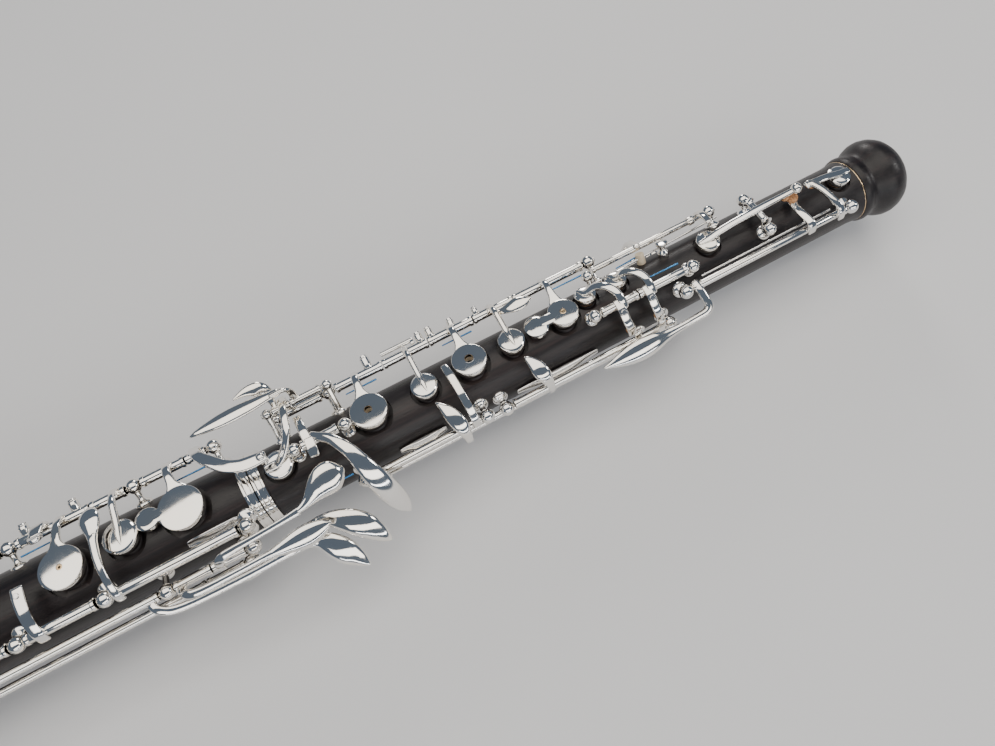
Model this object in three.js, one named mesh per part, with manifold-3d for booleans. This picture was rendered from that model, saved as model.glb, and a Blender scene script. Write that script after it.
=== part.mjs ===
// Oboe of the Conservatoire system, lying with its finger plates straight up.
//
// Design frame, in millimetres: X runs along the bore, from the crown's end face at CROWN_FACE to the
// bell's at END_X. A place on the instrument is [x, angle, radius]: the angle is in degrees about the
// bore, 0 straight up and positive towards +Y, and the radius is the distance from the bore's axis. At
// the end the whole group is moved so that the origin is under its middle, on the surface it lies on.
import * as THREE from 'three';
import { mergeVertices } from 'three/addons/utils/BufferGeometryUtils.js';
import Module from 'manifold-3d';

const wasm = await Module();
wasm.setup();

// ---------------------------------------------------------------- driving dimensions
const CROWN_FACE = -5.5;
const UPPER_LENGTH = 228.5;
const LOWER_LENGTH = 240;
const BELL_LENGTH = 128.5;
const JOIN_X = CROWN_FACE - UPPER_LENGTH;
const BELL_X = JOIN_X - LOWER_LENGTH;
const END_X = BELL_X - BELL_LENGTH;
const RING_WIDTH = 3;
const GAP = 0.3;

const CROWN_RADIUS = 12.95;
const UPPER_RADIUS = 10.1;
const LOWER_RADIUS = 12;
const BELL_RADIUS = 20;
const WELL_RADIUS = 3.7;
const WELL_DEPTH = 20;
const TENON_LENGTH = 13.5;
const TENON_RADIUS = 7;
const CORK_RADIUS = 8.2;
const SOCKET_RADIUS = 8.5;
const BELL_TENON_RADIUS = 9.5;
const BELL_CORK_RADIUS = 10.7;
const BELL_SOCKET_RADIUS = 11;

const BODY_SIDES = 24;
const TUBE_RADIUS = 1.3;
const TUBE_SIDES = 8;
const POST_BALL = 2.1;

// Heights above the body's radius: the flat seat milled under a pad, then the closed felt and cup.
const SEAT_HEIGHT = -0.8;
const PAD_BOTTOM = -0.5;
const PAD_TOP = 1.1;
const CUP_BOTTOM = 1.4;
const CUP_TOP = 2.9;

// Hinge lines along the body: [angle, radius].
const OCTAVE = [-46, 14.3];
const TRILL = [-21.5, 14.5];
const OCTAVE_LINK = [44, 15];
const THUMB = [110, 14];
const LEFT_STACK = [60, 17];
const TRILL_LEVER_A = [-75, 15];
const TRILL_LEVER_B = [-89, 13.7];
const CROSS = [-68.5, 15.6];
const G_TOUCH = [-2, 15.5];
const TRILL_TOUCH = [50, 19.6];
const RIGHT_STACK = [53, 18];
const NEAR_TOP = [-47, 17];
const NEAR_MIDDLE = [-66, 19];
const NEAR_LOW = [-84, 18.8];
const LOW_C_HINGE = [88, 17.6];
const BELL_HINGE = [-84, 18.6];
// The first octave lever's hinge lies across the bore.
const LEVER_X = -62.4;
const LEVER_ANGLE = 3;
const LEVER_RADIUS = 14.2;

const STAND_OPEN = -4.2;
const NEAR_OPEN = 4.2;

// ---------------------------------------------------------------- materials
const finish = (colour, roughness, metalness) =>
  new THREE.MeshStandardMaterial({ color: colour, roughness, metalness });
const WOOD = finish(0x1c1719, 0.42, 0);
const SILVER = finish(0xe2ddd2, 0.16, 1);
const PAD = finish(0xe9dcc4, 0.8, 0);
const CORK = finish(0xc68f5c, 0.9, 0);

// ---------------------------------------------------------------- shape helpers
const rad = THREE.MathUtils.degToRad;

function outward(angle) {
  return new THREE.Vector3(0, Math.sin(rad(angle)), Math.cos(rad(angle)));
}

function at(x, angle, radius) {
  return outward(angle).multiplyScalar(radius).setX(x);
}

function flipIfInsideOut(vertices, faces) {
  let volume = 0;
  const corner = (i) => new THREE.Vector3(vertices[3 * i], vertices[3 * i + 1], vertices[3 * i + 2]);
  for (let f = 0; f < faces.length; f += 3) {
    const [a, b, c] = [corner(faces[f]), corner(faces[f + 1]), corner(faces[f + 2])];
    volume += a.dot(b.cross(c));
  }
  if (volume < 0) {
    for (let f = 0; f < faces.length; f += 3) {
      [faces[f + 1], faces[f + 2]] = [faces[f + 2], faces[f + 1]];
    }
  }
}

function solid(geometry) {
  geometry.deleteAttribute('normal');
  geometry.deleteAttribute('uv');
  const merged = mergeVertices(geometry, 1e-4);
  const vertProperties = new Float32Array(merged.attributes.position.array);
  const triVerts = new Uint32Array(merged.index.array);
  flipIfInsideOut(vertProperties, triVerts);
  return new wasm.Manifold(new wasm.Mesh({ numProp: 3, vertProperties, triVerts }));
}

// A piece turned about the bore: points are [x, radius].
function turned(points, sides = BODY_SIDES) {
  const profile = points.map(([x, radius]) => new THREE.Vector2(radius, x));
  return solid(new THREE.LatheGeometry(profile, sides).rotateZ(-Math.PI / 2));
}

// A piece turned about the line that stands out of the body at [x, angle]: points are
// [radius about that line, distance from the bore's axis].
function radial(x, angle, points, sides) {
  const profile = points.map(([radius, height]) => new THREE.Vector2(radius, height));
  const geometry = new THREE.LatheGeometry(profile, sides);
  geometry.applyQuaternion(
    new THREE.Quaternion().setFromUnitVectors(new THREE.Vector3(0, 1, 0), outward(angle)));
  return solid(geometry.translate(x, 0, 0));
}

function peg(x, angle, from, to, radius, sides = 6) {
  return radial(x, angle, [[0, from], [radius, from], [radius, to], [0, to]], sides);
}

// A hinge tube on one of the hinge lines.
function tube([angle, radius], from, to, tubeRadius = TUBE_RADIUS) {
  const geometry = new THREE.CylinderGeometry(tubeRadius, tubeRadius, Math.abs(to - from), TUBE_SIDES);
  const centre = at((from + to) / 2, angle, radius);
  return solid(geometry.rotateZ(Math.PI / 2).translate(centre.x, centre.y, centre.z));
}

function ball(x, angle, radius, ballRadius) {
  const centre = at(x, angle, radius);
  return solid(new THREE.SphereGeometry(ballRadius, 8, 5).translate(centre.x, centre.y, centre.z));
}

// An arm or touch piece: an oval section carried through stations [x, angle, radius, half width,
// half thickness]. Its flat side faces away from the bore, or along a given angle.
function arm(stations, sides = 4, facing = null) {
  const centres = stations.map(([x, angle, radius]) => at(x, angle, radius));
  const spread = 1 / Math.cos(Math.PI / sides);
  const positions = [];
  const faces = [];
  stations.forEach(([, angle, , halfWidth, halfThickness], i) => {
    const before = centres[Math.max(i - 1, 0)];
    const after = centres[Math.min(i + 1, centres.length - 1)];
    const along = new THREE.Vector3().subVectors(after, before).normalize();
    const side = new THREE.Vector3().crossVectors(along, outward(facing ?? angle)).normalize();
    const up = new THREE.Vector3().crossVectors(side, along);
    for (let k = 0; k < sides; k += 1) {
      const turn = 2 * Math.PI * (k + 0.5) / sides;
      const point = centres[i].clone()
        .addScaledVector(side, spread * halfWidth * Math.cos(turn))
        .addScaledVector(up, spread * halfThickness * Math.sin(turn));
      positions.push(point.x, point.y, point.z);
    }
  });
  const last = (stations.length - 1) * sides;
  for (let k = 0; k < sides; k += 1) {
    const next = (k + 1) % sides;
    for (let row = 0; row < last; row += sides) {
      faces.push(row + k, row + next, row + sides + next, row + k, row + sides + next, row + sides + k);
    }
    if (k > 1) {
      faces.push(0, k, k - 1, last, last + k - 1, last + k);
    }
  }
  const geometry = new THREE.BufferGeometry();
  geometry.setAttribute('position', new THREE.Float32BufferAttribute(positions, 3));
  geometry.setIndex(faces);
  return solid(geometry);
}

const join = (pieces) => pieces.reduce((whole, piece) => whole.add(piece));
const cut = (whole, tools) => tools.reduce((rest, tool) => rest.subtract(tool), whole);

// ---------------------------------------------------------------- the assembly
const oboe = new THREE.Group();

function add(name, whole, material, place = new THREE.Matrix4()) {
  const { vertProperties, triVerts } = whole.getMesh();
  const geometry = new THREE.BufferGeometry();
  geometry.setAttribute('position', new THREE.BufferAttribute(vertProperties, 3));
  geometry.setIndex(new THREE.BufferAttribute(triVerts, 1));
  geometry.applyMatrix4(place);
  geometry.computeVertexNormals();
  const mesh = new THREE.Mesh(geometry, material);
  mesh.name = name;
  oboe.add(mesh);
}

// The turn by some degrees about a hinge line, which runs along X.
function swing([angle, radius], degrees) {
  const { y, z } = at(0, angle, radius);
  return new THREE.Matrix4().makeTranslation(0, y, z)
    .multiply(new THREE.Matrix4().makeRotationX(rad(degrees)))
    .multiply(new THREE.Matrix4().makeTranslation(0, -y, -z));
}

// A post: a stem with a ball that holds the pivot.
function post(x, [angle, radius], surface, size = POST_BALL) {
  return radial(x, angle, [
    [0, surface - 1], [1.3, surface - 1], [1.3, radius - 0.8 * size], [size, radius - 0.35 * size],
    [size, radius + 0.35 * size], [0, radius + size]], 6);
}

// The flat seat milled into the body under a pad, and the hole through it.
function seat({ x, angle = 0, size, surface }) {
  return peg(x, angle, surface + SEAT_HEIGHT, surface + 6, size + 1, 14);
}

function toneHole({ x, angle = 0, size, surface, bore }) {
  return peg(x, angle, bore - 1, surface + 6, 0.5 * size, 8);
}

function cup({ x, angle = 0, size, surface }) {
  return radial(x, angle, [
    [0, surface + CUP_BOTTOM], [size, surface + CUP_BOTTOM], [size, surface + CUP_TOP - 0.3],
    [0, surface + CUP_TOP]], 16);
}

// The small vents' cups hold a cork pad that is glued in, so cup and pad are one piece.
function corkedCup(spot) {
  const { x, angle, size, surface } = spot;
  return join([cup(spot), peg(x, angle, surface + PAD_BOTTOM, surface + CUP_BOTTOM + 0.1, size - 0.4, 12)]);
}

function padOf({ x, angle = 0, size, surface }) {
  return peg(x, angle, surface + PAD_BOTTOM, surface + PAD_TOP, size - 0.4, 12);
}

// The arm that runs from a hinge tube over to the top of a cup.
function cupArm([hingeAngle, hingeRadius], { x, angle = 0, size, surface }, fromX = x, width = 1.3) {
  const top = surface + CUP_TOP;
  const share = (part) => hingeAngle + part * (angle - hingeAngle);
  return arm([
    [fromX, share(-0.04), hingeRadius + 0.9, width, 0.8],
    [fromX, share(0.18), hingeRadius + 1.2, width, 0.8],
    [(fromX + x) / 2, share(0.5), Math.max(hingeRadius, top) - 0.3, width, 0.8],
    [x, share(0.78), top + 0.5, width * 1.2, 0.7],
    [x, angle, top - 0.1, width, 0.5]]);
}

// A key is everything soldered to its hinge tube, with the pad in its cup. It is drawn with the pad
// down, and then stands at its rest position, which is lift degrees away.
function key(name, hinge, pieces, { padded = [], lift = 0, holes = [] } = {}) {
  const place = swing(hinge, lift);
  add(name, cut(join(pieces), holes), SILVER, place);
  padded.forEach((spot) => add(spot.pad, cut(padOf(spot), holes), PAD, place));
}

// The hole through a ring plate and its pad.
function plateHole({ x, angle }, radius) {
  return peg(x, angle, 8, 22, radius, 8);
}

// ---------------------------------------------------------------- tone holes
const secondOctave = { x: -30.8, angle: 1, size: 3.6, surface: UPPER_RADIUS, bore: 2.6 };
const firstOctave = { x: -80.2, angle: 3, size: 3.7, surface: UPPER_RADIUS, bore: 3 };
const trillD = { x: -111.8, angle: 17, size: 3.4, surface: UPPER_RADIUS, bore: 3.2 };
const trillC = { x: -122.6, angle: 17, size: 3.4, surface: UPPER_RADIUS, bore: 3.2 };
const plateB = { x: -132, angle: 2, size: 4.7, surface: UPPER_RADIUS, bore: 3.4, pad: 'half_hole_pad' };
const cupC = { x: -149.8, angle: 0, size: 4.1, surface: UPPER_RADIUS, bore: 3.5 };
const plateA = { x: -163.5, angle: 3, size: 5.3, surface: UPPER_RADIUS, bore: 3.6, pad: 'a_pad' };
const cupB = { x: -178.7, angle: -1, size: 4.1, surface: UPPER_RADIUS, bore: 3.8, pad: 'b_flat_pad' };
const plateG = { x: -196, angle: 3, size: 5.6, surface: UPPER_RADIUS + 0.1, bore: 4, pad: 'g_pad' };
const cupGSharp = {
  x: -225, angle: -4, size: 4.2, surface: UPPER_RADIUS + 0.2, bore: 4.2, pad: 'g_sharp_pad',
};
const plateF = {
  x: -252.8, angle: -2, size: 6.4, surface: LOWER_RADIUS - 0.2, bore: 4.8, pad: 'f_sharp_pad',
};
const cupF = { x: -270, angle: 0, size: 4.9, surface: LOWER_RADIUS, bore: 5, pad: 'f_sharp_vent_pad' };
const plateE = { x: -286.4, angle: -2, size: 6.1, surface: LOWER_RADIUS + 0.3, bore: 5.1, pad: 'e_pad' };
const plateD = { x: -318, angle: -2, size: 6.5, surface: LOWER_RADIUS + 0.5, bore: 5.4, pad: 'd_pad' };
const cupEFlat = {
  x: -336.5, angle: -2, size: 5.4, surface: LOWER_RADIUS + 0.5, bore: 5.6, pad: 'e_flat_pad',
};
const cupFKey = { x: -351.5, angle: -2, size: 5.6, surface: LOWER_RADIUS + 0.5, bore: 5.8, pad: 'f_pad' };
const cupCSharp = {
  x: -369, angle: -2, size: 6.2, surface: LOWER_RADIUS + 0.5, bore: 6, pad: 'c_sharp_pad',
};
const cupLowC = { x: -394, angle: -2, size: 7, surface: LOWER_RADIUS + 0.6, bore: 6.2, pad: 'low_c_pad' };
const cupLowB = { x: -444, angle: -2, size: 7.2, surface: LOWER_RADIUS + 0.6, bore: 6.6, pad: 'low_b_pad' };
const cupBell = { x: -505, angle: -2, size: 7.4, surface: 13.2, bore: 8.6, pad: 'low_b_flat_pad' };
const upperHoles = [secondOctave, firstOctave, trillD, trillC, plateB, cupC, plateA, cupB, plateG, cupGSharp];
const lowerHoles = [plateF, cupF, plateE, plateD, cupEFlat, cupFKey, cupCSharp, cupLowC, cupLowB];

// ---------------------------------------------------------------- wooden joints with their posts
function wooden(profile, bore, holes, posts) {
  const seated = cut(turned(profile), holes.map(seat));
  return cut(join([seated, ...posts]), [...holes.map(toneHole), turned(bore, 16)]);
}

function upperJoint() {
  const profile = [
    [CROWN_FACE, 0], [CROWN_FACE, 6.2], [-6.4, 8.4], [-7.8, 10.5], [-10, 12.3], [-13.4, CROWN_RADIUS],
    [-16.8, 12], [-18.6, 10.9], [-20.2, 10.5], [-21.8, 11.1], [-23.4, 11], [-25, 10.3], [-28.5, 9.95],
    [JOIN_X + RING_WIDTH + GAP, 10.4], [JOIN_X + RING_WIDTH + GAP, 9.4], [JOIN_X, 9.4],
    [JOIN_X, TENON_RADIUS],
    [JOIN_X - TENON_LENGTH, TENON_RADIUS], [JOIN_X - TENON_LENGTH, 0]];
  const bore = [
    [CROWN_FACE + 1, 0], [CROWN_FACE + 1, WELL_RADIUS], [CROWN_FACE - WELL_DEPTH, WELL_RADIUS - 0.3],
    [CROWN_FACE - WELL_DEPTH, 2.3],
    [JOIN_X - TENON_LENGTH - 1, 4.5], [JOIN_X - TENON_LENGTH - 1, 0]];
  const surface = UPPER_RADIUS;
  const posts = [
    post(-33.6, OCTAVE, surface), post(-95.2, OCTAVE, surface),
    post(-90.2, TRILL, surface, 1.9), post(-124.6, TRILL, surface, 1.9),
    post(LEVER_X, [-24, 14.6], surface, 1.9), post(LEVER_X, [31, 14.6], surface, 1.9),
    post(-73.2, OCTAVE_LINK, surface, 1.9), post(-114.9, LEFT_STACK, surface),
    post(-118.5, [40, 14.2], surface, 1.7),
    post(-89.5, THUMB, surface, 1.7), post(-110.5, THUMB, surface, 1.7),
    post(-103, TRILL_LEVER_A, surface), post(-159.9, TRILL_LEVER_A, surface),
    post(-111, TRILL_LEVER_B, surface, 1.7), post(-203.2, TRILL_LEVER_B, surface, 1.7),
    post(-166.3, CROSS, surface), post(-205.5, CROSS, surface),
    post(-204.5, LEFT_STACK, surface), post(-221.6, LEFT_STACK, surface),
    post(-203.6, TRILL_TOUCH, surface, 1.5), post(-222.6, TRILL_TOUCH, surface, 1.5),
    post(-203.6, G_TOUCH, surface, 1.9), post(-219, G_TOUCH, surface, 1.9)];
  return wooden(profile, bore, upperHoles, posts);
}

function lowerJoint() {
  const top = JOIN_X - RING_WIDTH - GAP;
  const foot = BELL_X + RING_WIDTH + GAP;
  const profile = [
    [JOIN_X - GAP, 0], [JOIN_X - GAP, 10.2], [top, 10.2], [top, 11.3], [-262, 12], [-300, 12.6],
    [foot, 13.1],
    [foot, 12.2], [BELL_X, 12.2], [BELL_X, BELL_TENON_RADIUS], [BELL_X - TENON_LENGTH, BELL_TENON_RADIUS],
    [BELL_X - TENON_LENGTH, 0]];
  const bore = [
    [JOIN_X + 1, 0], [JOIN_X + 1, SOCKET_RADIUS], [JOIN_X - TENON_LENGTH - 0.5, SOCKET_RADIUS],
    [JOIN_X - TENON_LENGTH - 0.5, 4.6], [BELL_X - TENON_LENGTH - 1, 7.4], [BELL_X - TENON_LENGTH - 1, 0]];
  const surface = LOWER_RADIUS;
  const posts = [
    post(-240, RIGHT_STACK, surface), post(-264.2, RIGHT_STACK, surface), post(-300.6, RIGHT_STACK, surface),
    post(-327.4, RIGHT_STACK, surface), post(-378.8, RIGHT_STACK, surface),
    post(-359, LOW_C_HINGE, surface), post(-404.9, LOW_C_HINGE, surface),
    post(-239.2, NEAR_TOP, surface, 2.5), post(-279.7, NEAR_TOP, surface), post(-303.7, NEAR_TOP, surface),
    post(-358.5, NEAR_TOP, surface),
    post(-240.4, NEAR_MIDDLE, surface), post(-265.6, NEAR_MIDDLE, surface),
    post(-466.5, NEAR_MIDDLE, surface),
    post(-243.5, NEAR_LOW, surface), post(-454.5, NEAR_LOW, surface)];
  return wooden(profile, bore, lowerHoles, posts);
}

function bell() {
  const top = BELL_X - RING_WIDTH - GAP;
  const profile = [
    [BELL_X - GAP, 0], [BELL_X - GAP, 12.4], [top, 12.4], [top, 13.6], [-484, 13.3], [-520, 13.2],
    [-545, 14.2],
    [-562, 16.2], [-576, 18.6], [-586, BELL_RADIUS], [-592, 19.7], [END_X, 18.4], [END_X, 0]];
  const bore = [
    [BELL_X + 1, 0], [BELL_X + 1, BELL_SOCKET_RADIUS], [BELL_X - TENON_LENGTH - 0.5, BELL_SOCKET_RADIUS],
    [BELL_X - TENON_LENGTH - 0.5, 7.8], [-530, 9.6], [-560, 12.4], [-580, 15.4], [-590, 15.8],
    [END_X - 1, 14.6], [END_X - 1, 0]];
  const posts = [post(-486, BELL_HINGE, 12.9), post(-517.5, BELL_HINGE, 12.9)];
  return wooden(profile, bore, [cupBell], posts);
}

function ring(from, to, inner, outer) {
  return turned([[from, inner], [from, outer], [to, outer], [to, inner], [from, inner]]);
}

add('upper_joint', upperJoint(), WOOD);
add('lower_joint', lowerJoint(), WOOD);
add('bell', bell(), WOOD);
add('upper_joint_ring', ring(JOIN_X + RING_WIDTH, JOIN_X, 9.7, 11.6), SILVER);
add('middle_socket_ring', ring(JOIN_X - GAP, JOIN_X - RING_WIDTH, 10.5, 11.7), SILVER);
add('lower_joint_ring', ring(BELL_X + RING_WIDTH, BELL_X, 12.5, 13.8), SILVER);
add('bell_socket_ring', ring(BELL_X - GAP, BELL_X - RING_WIDTH, 12.7, 14.2), SILVER);

function corkSleeve(from, inner, outer) {
  const to = from - TENON_LENGTH + 2;
  return turned([[from, inner], [from, outer], [to, outer], [to, inner], [from, inner]]);
}

add('middle_tenon_cork', corkSleeve(JOIN_X - 1, TENON_RADIUS + GAP, CORK_RADIUS), CORK);
add('bell_tenon_cork', corkSleeve(BELL_X - 1, BELL_TENON_RADIUS + GAP, BELL_CORK_RADIUS), CORK);

// The thumb rest: a plate along the back, a web, and the flat foot that the thumb carries.
const REST_X = -276;
function block(x, y, z, length, width, height) {
  return solid(new THREE.BoxGeometry(length, width, height).translate(x, y, z));
}
add('thumb_rest', join([
  block(REST_X, 0, -LOWER_RADIUS - 1.6, 20, 7, 1.4),
  block(REST_X + 2, 0, -16, 2, 6, 6),
  block(REST_X + 5, 0, -BELL_RADIUS + 0.8, 12, 14, 1.6)]), SILVER);

// ---------------------------------------------------------------- keys of the upper joint
const SIDE_FACING = -38;
key('second_octave_key', OCTAVE, [
  tube(OCTAVE, -36, -92.9, 1.2),
  arm([[-38.9, -50, 15.6, 1.1, 0.7], [-39.1, -37, 16.6, 1.1, 0.7], [-41, -18, 16, 1.1, 0.7],
    [-43.2, 1, 16, 1.1, 0.6]]),
  arm([[-44, 1, 15.8, 1.1, 0.6], [-39.4, 1, 15.5, 1.1, 0.6], [-34.9, 1, 14.6, 1, 0.5],
    [-29, 1, 12.9, 0.9, 0.5]]),
  corkedCup(secondOctave),
  arm([[-49.6, -49, 15.4, 1.3, 0.6], [-49.9, -38, 16, 1.3, 0.6], [-50.3, -25, 14.3, 1.3, 0.6],
    [-49.6, -12, 12.6, 1.3, 0.5], [-48.6, 4, 12.1, 1.6, 0.5]]),
  arm([[-91.6, -41, 14.4, 1.4, 1.2], [-91, -56, 16.6, 1.4, 1.2], [-90.6, -67, 18.2, 1.4, 1.2],
    [-92.6, -70, 19, 1.3, 1.1],
    [-99, -70, 19.4, 1.1, 0.8], [-107, -69, 20, 1.4, 0.8], [-115, -69, 20.4, 3.1, 0.8],
    [-122, -69, 20.4, 2.6, 0.8],
    [-129.4, -69, 20.2, 0.6, 0.5]], 6, SIDE_FACING)]);

key('trill_key_upper', TRILL, [
  tube(TRILL, -92.3, -109.6), corkedCup(trillD),
  arm([[-105.3, -25, 15.4, 1.4, 0.8], [-106, -10, 16.7, 1.4, 0.7], [-107.6, 1, 16.7, 1.3, 0.7],
    [-110, 10, 15.3, 1.3, 0.7],
    [-112, 18, 13.2, 1.2, 0.5]]),
  arm([[-106.9, -19, 15.8, 1.4, 0.5], [-106.9, -38, 15.9, 1.4, 0.5], [-106.3, -60, 15.2, 1.4, 0.5]])]);

key('trill_key_lower', TRILL, [
  tube(TRILL, -110, -122.5), corkedCup(trillC),
  arm([[-115.2, -25, 15.4, 1.4, 0.8], [-115.8, -10, 16.7, 1.4, 0.7], [-117.8, 1, 16.7, 1.3, 0.7],
    [-120.6, 10, 15.3, 1.3, 0.7], [-122.9, 18, 13.2, 1.2, 0.5]]),
  arm([[-116.3, -19, 15.8, 1.4, 0.5], [-116.3, -38, 15.9, 1.4, 0.5], [-115.8, -60, 15.2, 1.4, 0.5]])]);

key('octave_link', OCTAVE_LINK, [
  tube(OCTAVE_LINK, -75.4, -116.4, 1),
  arm([[-76.6, 47, 15.8, 1.1, 0.6], [-77.4, 30, 16.6, 1.1, 0.6], [-78, 17, 16.2, 0.9, 0.5]]),
  arm([[-100, 41, 15.6, 1.2, 0.7], [-100, 62, 16.4, 1.2, 0.7], [-100, 84, 15.8, 1.2, 0.6]])]);

key('thumb_octave_key', THUMB, [
  tube(THUMB, -91.5, -108.5, 1.1),
  arm([[-97, 107, 14.8, 1.1, 0.6], [-97, 125, 15.6, 1.2, 0.6], [-97, 150, 15.6, 1.6, 0.6],
    [-97, 172, 15.8, 2, 0.6]]),
  arm([[-88, 180, 15.6, 1, 0.5], [-92, 180, 15.9, 4, 0.8], [-99, 180, 16.1, 5, 0.9],
    [-106, 180, 16, 4.2, 0.8],
    [-111, 180, 15.7, 1.4, 0.5]], 6)]);

// The first octave key is a straight lever along the bore, hinged crosswise between two posts.
function crossTube(halfLength) {
  const geometry = new THREE.CylinderGeometry(1.2, 1.2, 2 * halfLength, TUBE_SIDES);
  const centre = at(LEVER_X, LEVER_ANGLE, LEVER_RADIUS);
  geometry.rotateX(-rad(LEVER_ANGLE));
  return solid(geometry.translate(centre.x, centre.y, centre.z));
}
add('first_octave_key', join([
  crossTube(4.6),
  corkedCup(firstOctave),
  arm([[-82, LEVER_ANGLE, 12.9, 1.1, 0.5], [-77.5, LEVER_ANGLE, 13.8, 1.1, 0.6],
    [LEVER_X, LEVER_ANGLE, 15.4, 1.1, 0.8], [-48.8, LEVER_ANGLE, 16.1, 1, 0.7]]),
  ball(-48.4, LEVER_ANGLE, 16.6, 1.7)]), SILVER);

key('half_hole_key', LEFT_STACK, [
  tube(LEFT_STACK, -117.4, -141.7), cup(plateB), cupArm(LEFT_STACK, plateB, -131.4),
  arm([[-134, 2, 12.3, 3, 0.6], [-138, 2, 12.3, 2.4, 0.6], [-141, 2, 12.3, 3.6, 0.6],
    [-144.4, 2, 12.3, 1.8, 0.5]], 6)],
{ padded: [plateB], lift: STAND_OPEN });

key('c_key', LEFT_STACK, [
  tube(LEFT_STACK, -142.1, -155.7), corkedCup(cupC), cupArm(LEFT_STACK, cupC, cupC.x, 0.9),
  peg(-154, 60, 17, 20.6, 1.1)], { lift: STAND_OPEN });

key('a_key', LEFT_STACK, [
  tube(LEFT_STACK, -156.1, -171), cup(plateA), cupArm(LEFT_STACK, plateA),
  peg(-169.5, 62, 17, 21.4, 1.2)], { padded: [plateA], lift: STAND_OPEN, holes: [plateHole(plateA, 1.35)] });

key('b_flat_key', LEFT_STACK, [
  tube(LEFT_STACK, -171.4, -186.3), cup(cupB), cupArm(LEFT_STACK, cupB, cupB.x, 0.9),
  peg(-173, 62, 17, 21.4, 1.2)], { padded: [cupB], lift: STAND_OPEN });

key('g_key', LEFT_STACK, [
  tube(LEFT_STACK, -186.7, -202.1), cup(plateG), cupArm(LEFT_STACK, plateG, -195.4),
  peg(-190.6, 62, 17, 22.2, 1.4)], { padded: [plateG], lift: STAND_OPEN, holes: [plateHole(plateG, 1.2)] });

key('left_trill_lever_upper', TRILL_LEVER_A, [
  tube(TRILL_LEVER_A, -105.4, -157.4),
  arm([[-107, -75, 16, 1.2, 0.5], [-106.8, -67, 16.6, 1.2, 0.5], [-106.4, -60, 16.8, 1.2, 0.5]]),
  arm([[-145.2, -79, 15.9, 1, 0.7], [-145.4, -66, 17, 1.3, 0.8], [-146.2, -54, 17, 2.2, 0.9],
    [-147.4, -40, 15.6, 2, 0.8], [-148.8, -27, 14, 0.6, 0.5]], 6)]);

key('left_trill_lever_lower', TRILL_LEVER_B, [
  tube(TRILL_LEVER_B, -113.1, -201.1, 1.1),
  arm([[-115, -90, 14.2, 1.1, 0.6], [-115, -86, 16.6, 1.1, 0.6], [-115, -76, 17.2, 1.1, 0.4],
    [-115, -68, 17.1, 1.1, 0.4],
    [-115, -60, 16.8, 1.1, 0.4]]),
  arm([[-174, -90, 14.2, 1, 0.7], [-174, -86, 16.7, 1.1, 0.6], [-174.1, -76, 18.6, 1.2, 0.7],
    [-174.2, -66, 18.8, 1.3, 0.8],
    [-175, -52, 17.6, 2, 0.9], [-176.4, -38, 15.7, 1.9, 0.8], [-178, -27, 14, 0.6, 0.5]], 6)]);

key('cross_bridge_key', CROSS, [
  tube(CROSS, -168.6, -203.1, 1.3),
  arm([[-170.2, -68, 17.1, 1.2, 0.6], [-170.3, -50, 17.4, 1.2, 0.6], [-170.6, -28, 16.6, 1.2, 0.6],
    [-170.9, -4, 15.3, 1.1, 0.5], [-171.1, 8, 14.8, 0.9, 0.4]])]);

const GS_FACING = -30;
key('g_sharp_touch', G_TOUCH, [
  tube(G_TOUCH, -205.8, -216.8),
  arm([[-214.6, 2, 16.4, 1.3, 0.6], [-214.8, 18, 16.8, 1.3, 0.6], [-215, 30, 17.2, 1.2, 0.5]]),
  arm([[-212, 0, 16.4, 1.2, 0.8], [-209, -10, 18, 1.6, 0.9], [-205.6, -26, 19.6, 2, 1],
    [-203.6, -44, 20.6, 2.6, 1], [-202, -60, 21.4, 3.2, 1], [-200.6, -76, 22.4, 3.1, 0.9],
    [-199.4, -88, 24.4, 2.4, 0.8],
    [-198.5, -96, 26, 0.8, 0.5]], 6, GS_FACING)]);

key('g_sharp_key', LEFT_STACK, [
  tube(LEFT_STACK, -206.9, -219.1), cup(cupGSharp),
  arm([[-217, 60, 17.2, 1.1, 0.6], [-217, 58, 20.6, 1.1, 0.6], [-217, 49, 21.9, 1.1, 0.6],
    [-217, 36, 21.6, 1.1, 0.6],
    [-217.6, 22, 20, 1.1, 0.6], [-219.6, 10, 17.2, 1.2, 0.6], [-222.6, 2, 14.4, 1.2, 0.5],
    [-225, -4, 13, 1.2, 0.4]]),
  arm([[-225, -4, 12.9, 1.6, 0.4], [-228.6, -3, 12.9, 1.4, 0.4]])], { padded: [cupGSharp] });

key('trill_touch_upper', TRILL_TOUCH, [
  tube(TRILL_TOUCH, -205.6, -215, 1),
  arm([[-213.4, 49, 20.2, 1.2, 0.7], [-213.5, 46, 23.2, 1.1, 0.7], [-214.8, 44, 24.6, 1.2, 0.7],
    [-218.4, 41.6, 25, 1.2, 0.7], [-224, 41.6, 25, 1.8, 0.8],
    [-232, 42, 24.9, 2, 0.8], [-238.6, 43, 24.6, 1.4, 0.7], [-243.4, 44, 24.2, 0.5, 0.4]], 6, 0)]);

key('trill_touch_lower', TRILL_TOUCH, [
  tube(TRILL_TOUCH, -215.4, -220.8, 1),
  arm([[-219.6, 51.5, 19.9, 0.8, 0.7], [-219.7, 53.6, 22.4, 0.8, 0.7], [-219.9, 53, 24.6, 1.7, 0.7],
    [-220.6, 51, 26.6, 2.2, 0.7], [-222.2, 49.4, 28, 1.9, 0.7], [-225, 49, 28.4, 1.2, 0.6],
    [-228.4, 49, 27.8, 0.5, 0.4]], 6)]);

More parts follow.
